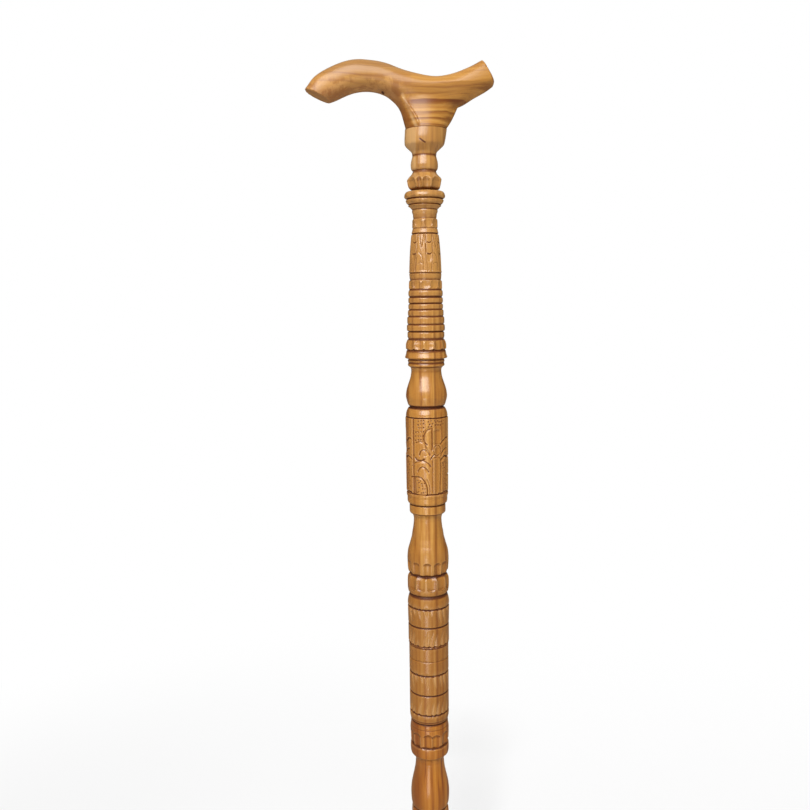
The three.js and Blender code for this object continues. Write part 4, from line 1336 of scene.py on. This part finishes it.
class STICK_OT_handle(bpy.types.Operator):
    """Carve the derby handle from one block"""

    bl_idname = "stick.handle"
    bl_label = "Handle"

    def execute(self, context):
        cell = context.scene.stick_carving.handle_cell
        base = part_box("handle")[0][2] / MM
        grip, stem = grip_rings(base), stem_rings(base)
        block = add("handle_block", handle_block(grip, stem))
        fused = applied(block, "REMESH", mode="VOXEL", voxel_size=cell)
        x, _, z = read(fused).T / MM
        near = np.clip(1 - np.abs(z - (base + BLEND_HEIGHT)) / BLEND_REACH, 0, 1)
        near *= np.clip((BLEND_RIGHT - x) / BLEND_FADE, 0, 1)
        near *= np.clip((x - BLEND_LEFT) / BLEND_FADE, 0, 1)
        relax(fused, BLEND_ROUNDS, np.clip(near * 1.6, 0, 1))
        relax(fused, EVEN_ROUNDS, np.ones(len(x)))
        block.data = trimmed(fused, [
            level_plane(base - SEAM_SPARE),
            end_plane(grip[1], grip[2]),
            end_plane(grip[-2], grip[-3], TAIL_SHORT, TAIL_LIFT),
        ])
        fine = applied(block, "REMESH", mode="VOXEL", voxel_size=cell * FINE_SHARE)
        relax(fine, 1, np.ones(len(fine.vertices)))
        block.data = trimmed(fine, [level_plane(base - SEAM_GAP)])
        bore, depth = STUD_BORE
        drill = lathe("stud_drill", [(bore, base - 2), (bore, base + depth)], 48)
        drill = add("stud_drill", drill)
        mesh = applied(block, "BOOLEAN", object=drill, operation="DIFFERENCE", solver="EXACT")
        bpy.data.objects.remove(drill)
        bpy.data.objects.remove(block)
        slant(mesh, base)
        for points, amount, width in RIDGES:
            raise_line(mesh, [(x, base + z) for x, z in points], amount, width)
        nick(mesh, base)
        wood = wood_material("handle", handle_figure, cross=True, ring=0.0065, gloss=(0.3, 0.3))
        mesh.name = "handle_carved"
        obj = new_object("handle_carved", mesh, wood, "upper_section")
        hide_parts("handle")
        return {"FINISHED"}


# ---- tip and fittings

# Outline of the tip as (radius, z): its tread and foot, and its rim and bore.
TIP_FOOT = (
    (8.5, 0), (8.5, 1.5), (11.5, 1.5), (11.5, 0), (13, 0), (13, 1.2), (14.2, 1.2), (14.2, 0),
    (16.8, 0), (17.5, 0.3), (17.9, 1.2), (18, 2.2), (18, 5.6), (17.8, 6.8), (17.2, 7.6), (16.6, 8),
)
TIP_RIM = (
    (12.5, 32), (13.3, 32.4), (13.8, 33.4), (14, 34.5), (13.8, 35.6), (13.3, 36.5), (12.5, 36.9),
    (10.4, 37), (9.8, 36.6), (9.8, 8),
)
# Thread of the joint stud: radius, depth and the chamfer at its ends.
THREAD = (5.0, 0.85, 1.1)


class STICK_OT_tip(bpy.types.Operator):
    """Build the rubber tip"""

    bl_idname = "stick.tip"
    bl_label = "Rubber tip"

    def execute(self, context):
        metal = context.scene.stick_metal
        points = list(TIP_FOOT)
        wide, slim = TIP_FOOT[-1][0], TIP_RIM[0][0]
        for s in np.linspace(0, 1, 14)[1:]:
            points.append((wide + (slim - wide) * math.sin(s * math.pi / 2) ** 1.2, 8 + 14 * s))
        for k in range(4):
            z = 23.2 + k * 2.2
            points += [(slim, z), (12.15, z + 0.25), (12.15, z + 0.75), (slim, z + 1.0)]
        mesh = lathe("rubber_tip", [*points, *TIP_RIM], 128)
        rubber = rubber_material("Rubber", metal.rubber, srgb(128, 118, 102))
        obj = new_object("rubber_tip", mesh, rubber, "tip")
        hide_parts("ferrule")
        steel = metal_material("Disc steel", metal.steel, (0.3, 0.31, 0.33, 1), 0.38)
        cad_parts["ferrule_disc"].data.materials[0] = steel
        return {"FINISHED"}


def thread_mesh(name, low, high, pitch, columns):
    """Threaded rod with chamfered ends."""
    radius, depth, chamfer = THREAD
    angle = angles_round(columns)
    height = np.append(np.arange(low, high, pitch / 8), high)
    phase = (height[:, None] / pitch - angle[None, :] / (2 * math.pi)) % 1
    tooth = np.clip(np.abs(2 * phase - 1) * 1.25 - 0.1, 0, 1)
    ends = np.minimum(height - low, high - height)[:, None]
    root = np.minimum(radius - depth * (1 - tooth), radius - chamfer + ends)
    return skin(name, [turned(r, z, angle) for r, z in zip(root, height)])


class STICK_OT_fittings(bpy.types.Operator):
    """Build the studs and the threaded inserts"""

    bl_idname = "stick.fittings"
    bl_label = "Screw joint"

    def execute(self, context):
        metal = context.scene.stick_metal
        steel = metal_material("Stud steel", metal.steel, (0.32, 0.33, 0.35, 1), 0.3)
        brass = metal_material("Insert brass", metal.brass, srgb(150, 108, 48), 0.3)
        low, high = (corner[2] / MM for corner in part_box("joint_stud"))
        mesh = thread_mesh("joint_stud_threaded", low, high, metal.thread_pitch / MM, 72)
        stud = new_object("joint_stud_threaded", mesh, steel, "stud")
        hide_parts("joint_stud")
        loop = [(5.3, 0.35), (5.65, 0.0), (8.3, 0.0), (8.5, 0.2), (8.5, 1.5), (7.0, 1.5)]
        for k in range(9):
            loop += [(r, d + 2 * k) for r, d in ((7, 2.4), (6.7, 2.7), (6.7, 3.1), (7, 3.4))]
        loop += [(7.0, 20.7), (6.7, 21.0), (5.3, 21.0)]
        for node, body in (("lower_insert", "lower_section"), ("upper_insert", "upper_section")):
            low, high = (corner[2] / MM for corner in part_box(node))
            points = [(r, low + d) for r, d in loop]
            if node == "lower_insert":
                points = [(r, high - d) for r, d in reversed(loop)]
            mesh = lathe(node + "_turned", points, 96, tube=True)
            piece = new_object(node + "_turned", mesh, brass, body)
            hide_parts(node)
        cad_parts["handle_stud"].data.materials[0] = steel
        return {"FINISHED"}


# ---- stage

FLOOR_HALF = 6.0
WHITE = (1, 1, 1, 1)
# What the lacquer and the floor show of the room: its walls, its ceiling and its floor.
WALL, CEILING = (0.13, 0.08, 0.045, 1), (0.5, 0.45, 0.38, 1)
FLOOR_IN_GLOSS, FLOOR_IN_LIGHT = (0.3, 0.2, 0.12, 1), (0.62, 0.6, 0.58, 1)
AMBIENT = (0.5, 0.5, 0.5, 1)
BACK_POWER = 14
SUN_ANGLE = math.radians(6)


def lamp(name, kind, azimuth, elevation, hidden_from, **settings):
    """Lamp seen from an azimuth, positive to the right of the camera, and what doesn't see it."""
    light = bpy.data.lights.new(name, kind)
    for key, value in settings.items():
        setattr(light, key, value)
    obj = add(name, light)
    turn, lift = math.radians(azimuth), math.radians(elevation)
    flat = math.cos(lift)
    away = Vector((math.sin(turn) * flat, -math.cos(turn) * flat, math.sin(lift)))
    obj.rotation_euler = away.to_track_quat("Z", "Y").to_euler()
    for ray in hidden_from:
        setattr(obj, "visible_" + ray, False)
    return obj, away


class STICK_OT_stage(bpy.types.Operator):
    """Set up the floor, the light and the camera"""

    bl_idname = "stick.stage"
    bl_label = "Stage"

    def execute(self, context):
        scene, stage = context.scene, context.scene.stick_stage
        scene.view_settings.view_transform = "Standard"
        mesh = bpy.data.meshes.new("floor")
        corners = ((-1, -1, 0), (1, -1, 0), (1, 1, 0), (-1, 1, 0))
        mesh.from_pydata([Vector(corner) * FLOOR_HALF for corner in corners], [], [(0, 1, 2, 3)])
        floor = add("floor", mesh)
        mesh.materials.append(self.paper(stage))
        floor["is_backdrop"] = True

        world = bpy.data.worlds.new("Studio")
        scene.world = world
        world.use_nodes = True
        w = Graph(world.node_tree)
        path = w.node("LightPath").outputs
        up = w.split(w.node("TexCoord").outputs["Generated"])[2]
        sheen = w.mix(w.span(up, 0.4, 0.9), WALL, CEILING)
        tone = w.mix(path["Is Glossy Ray"], AMBIENT, sheen)
        tone = w.mix(path["Is Camera Ray"], tone, WHITE)
        w.feed(world.node_tree.nodes["Background"], {"Color": tone})

        for name, power, height, azimuth, elevation, distance, size, hidden in (
            ("Softbox", stage.key, 0.72, -12, 33, 1.6, (1.3, 0.95), ()),
            ("Window", stage.gloss, 0.75, -28, 30, 1.6, (1.1, 0.8), ("diffuse",)),
            ("Low card", stage.low_gloss, 0.6, -12, -26, 1.2, (0.3, 0.9), ("diffuse",)),
            ("Back softbox", BACK_POWER, 0.6, 165, 30, 1.8, (1.6, 1.2), ("camera", "glossy")),
        ):
            box = {"shape": "RECTANGLE", "size": size[0], "size_y": size[1], "energy": power}
            obj, away = lamp(name, "AREA", azimuth, elevation, hidden, **box)
            obj.location = Vector((0, 0, height)) + away * distance
        lamp("High lamp", "SUN", -7.5, 48, ("glossy",), energy=stage.high, angle=SUN_ANGLE)

        data = bpy.data.cameras.new("Camera")
        data.sensor_width = 36
        data.lens = stage.lens
        data.clip_end = 50
        camera = add("Camera", data)
        camera.matrix_world = (
            Matrix.Translation((-stage.aside, -stage.distance, stage.eye_height))
            @ Matrix.Rotation(math.pi / 2 - stage.pitch, 4, "X")
            @ Matrix.Rotation(-stage.roll, 4, "Z")
        )
        scene.camera = camera
        return {"FINISHED"}

    def paper(self, stage):
        """White paper that keeps shadows near the stick and fades to plain white further off."""
        material, g, shader = new_material("Floor paper")
        path = g.node("LightPath").outputs
        tone = g.mix(path["Is Glossy Ray"], FLOOR_IN_LIGHT, FLOOR_IN_GLOSS)
        tone = g.mix(path["Is Camera Ray"], tone, stage.floor)
        g.feed(shader, {"Base Color": tone, "Roughness": 0.95, "Specular IOR Level": 0.1})
        far = g.node("VectorMath", {0: g.place()}, operation="LENGTH").outputs["Value"]
        plain = g.times(g.span(far, 0.62, 1.3), path["Is Camera Ray"])
        glow = g.node("Emission", {"Color": WHITE, "Strength": 1.0}).outputs[0]
        blend = g.node("MixShader", {0: plain, 1: shader.outputs[0], 2: glow}).outputs[0]
        g.feed(g.tree.nodes["Material Output"], {"Surface": blend})
        return material


class STICK_PT_panel(bpy.types.Panel):
    """Lists the pieces of the stick"""

    bl_label = "Walking stick"
    bl_idname = "STICK_PT_panel"
    bl_space_type = "VIEW_3D"
    bl_region_type = "UI"
    bl_category = "Walking stick"

    def draw(self, context):
        for operator in OPERATORS:
            self.layout.operator(operator.bl_idname)
        for key in SETTINGS:
            settings = getattr(context.scene, key)
            box = self.layout.box()
            for name in settings.bl_rna.properties.keys():
                if name not in ("rna_type", "name"):
                    box.prop(settings, name)


SETTINGS = {
    "stick_timber": StickTimber,
    "stick_carving": StickCarving,
    "stick_metal": StickMetal,
    "stick_stage": StickStage,
}
OPERATORS = (
    STICK_OT_upper_shaft,
    STICK_OT_lower_shaft,
    STICK_OT_handle,
    STICK_OT_tip,
    STICK_OT_fittings,
    STICK_OT_stage,
)
CLASSES = (*SETTINGS.values(), *OPERATORS, STICK_PT_panel)


def register():
    for cls in CLASSES:
        bpy.utils.register_class(cls)
    for key, cls in SETTINGS.items():
        setattr(bpy.types.Scene, key, PointerProperty(type=cls))


def unregister():
    for key in SETTINGS:
        delattr(bpy.types.Scene, key)
    for cls in reversed(CLASSES):
        bpy.utils.unregister_class(cls)


def main():
    register()
    for operator in OPERATORS:
        group_name, call = operator.bl_idname.split(".")
        getattr(getattr(bpy.ops, group_name), call)()
    boxes = {"cad": cad_box, "visual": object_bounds()}
    {key: [list(map(float, corner)) for corner in box] for key, box in boxes.items()}


if __name__ == "__main__":
    main()
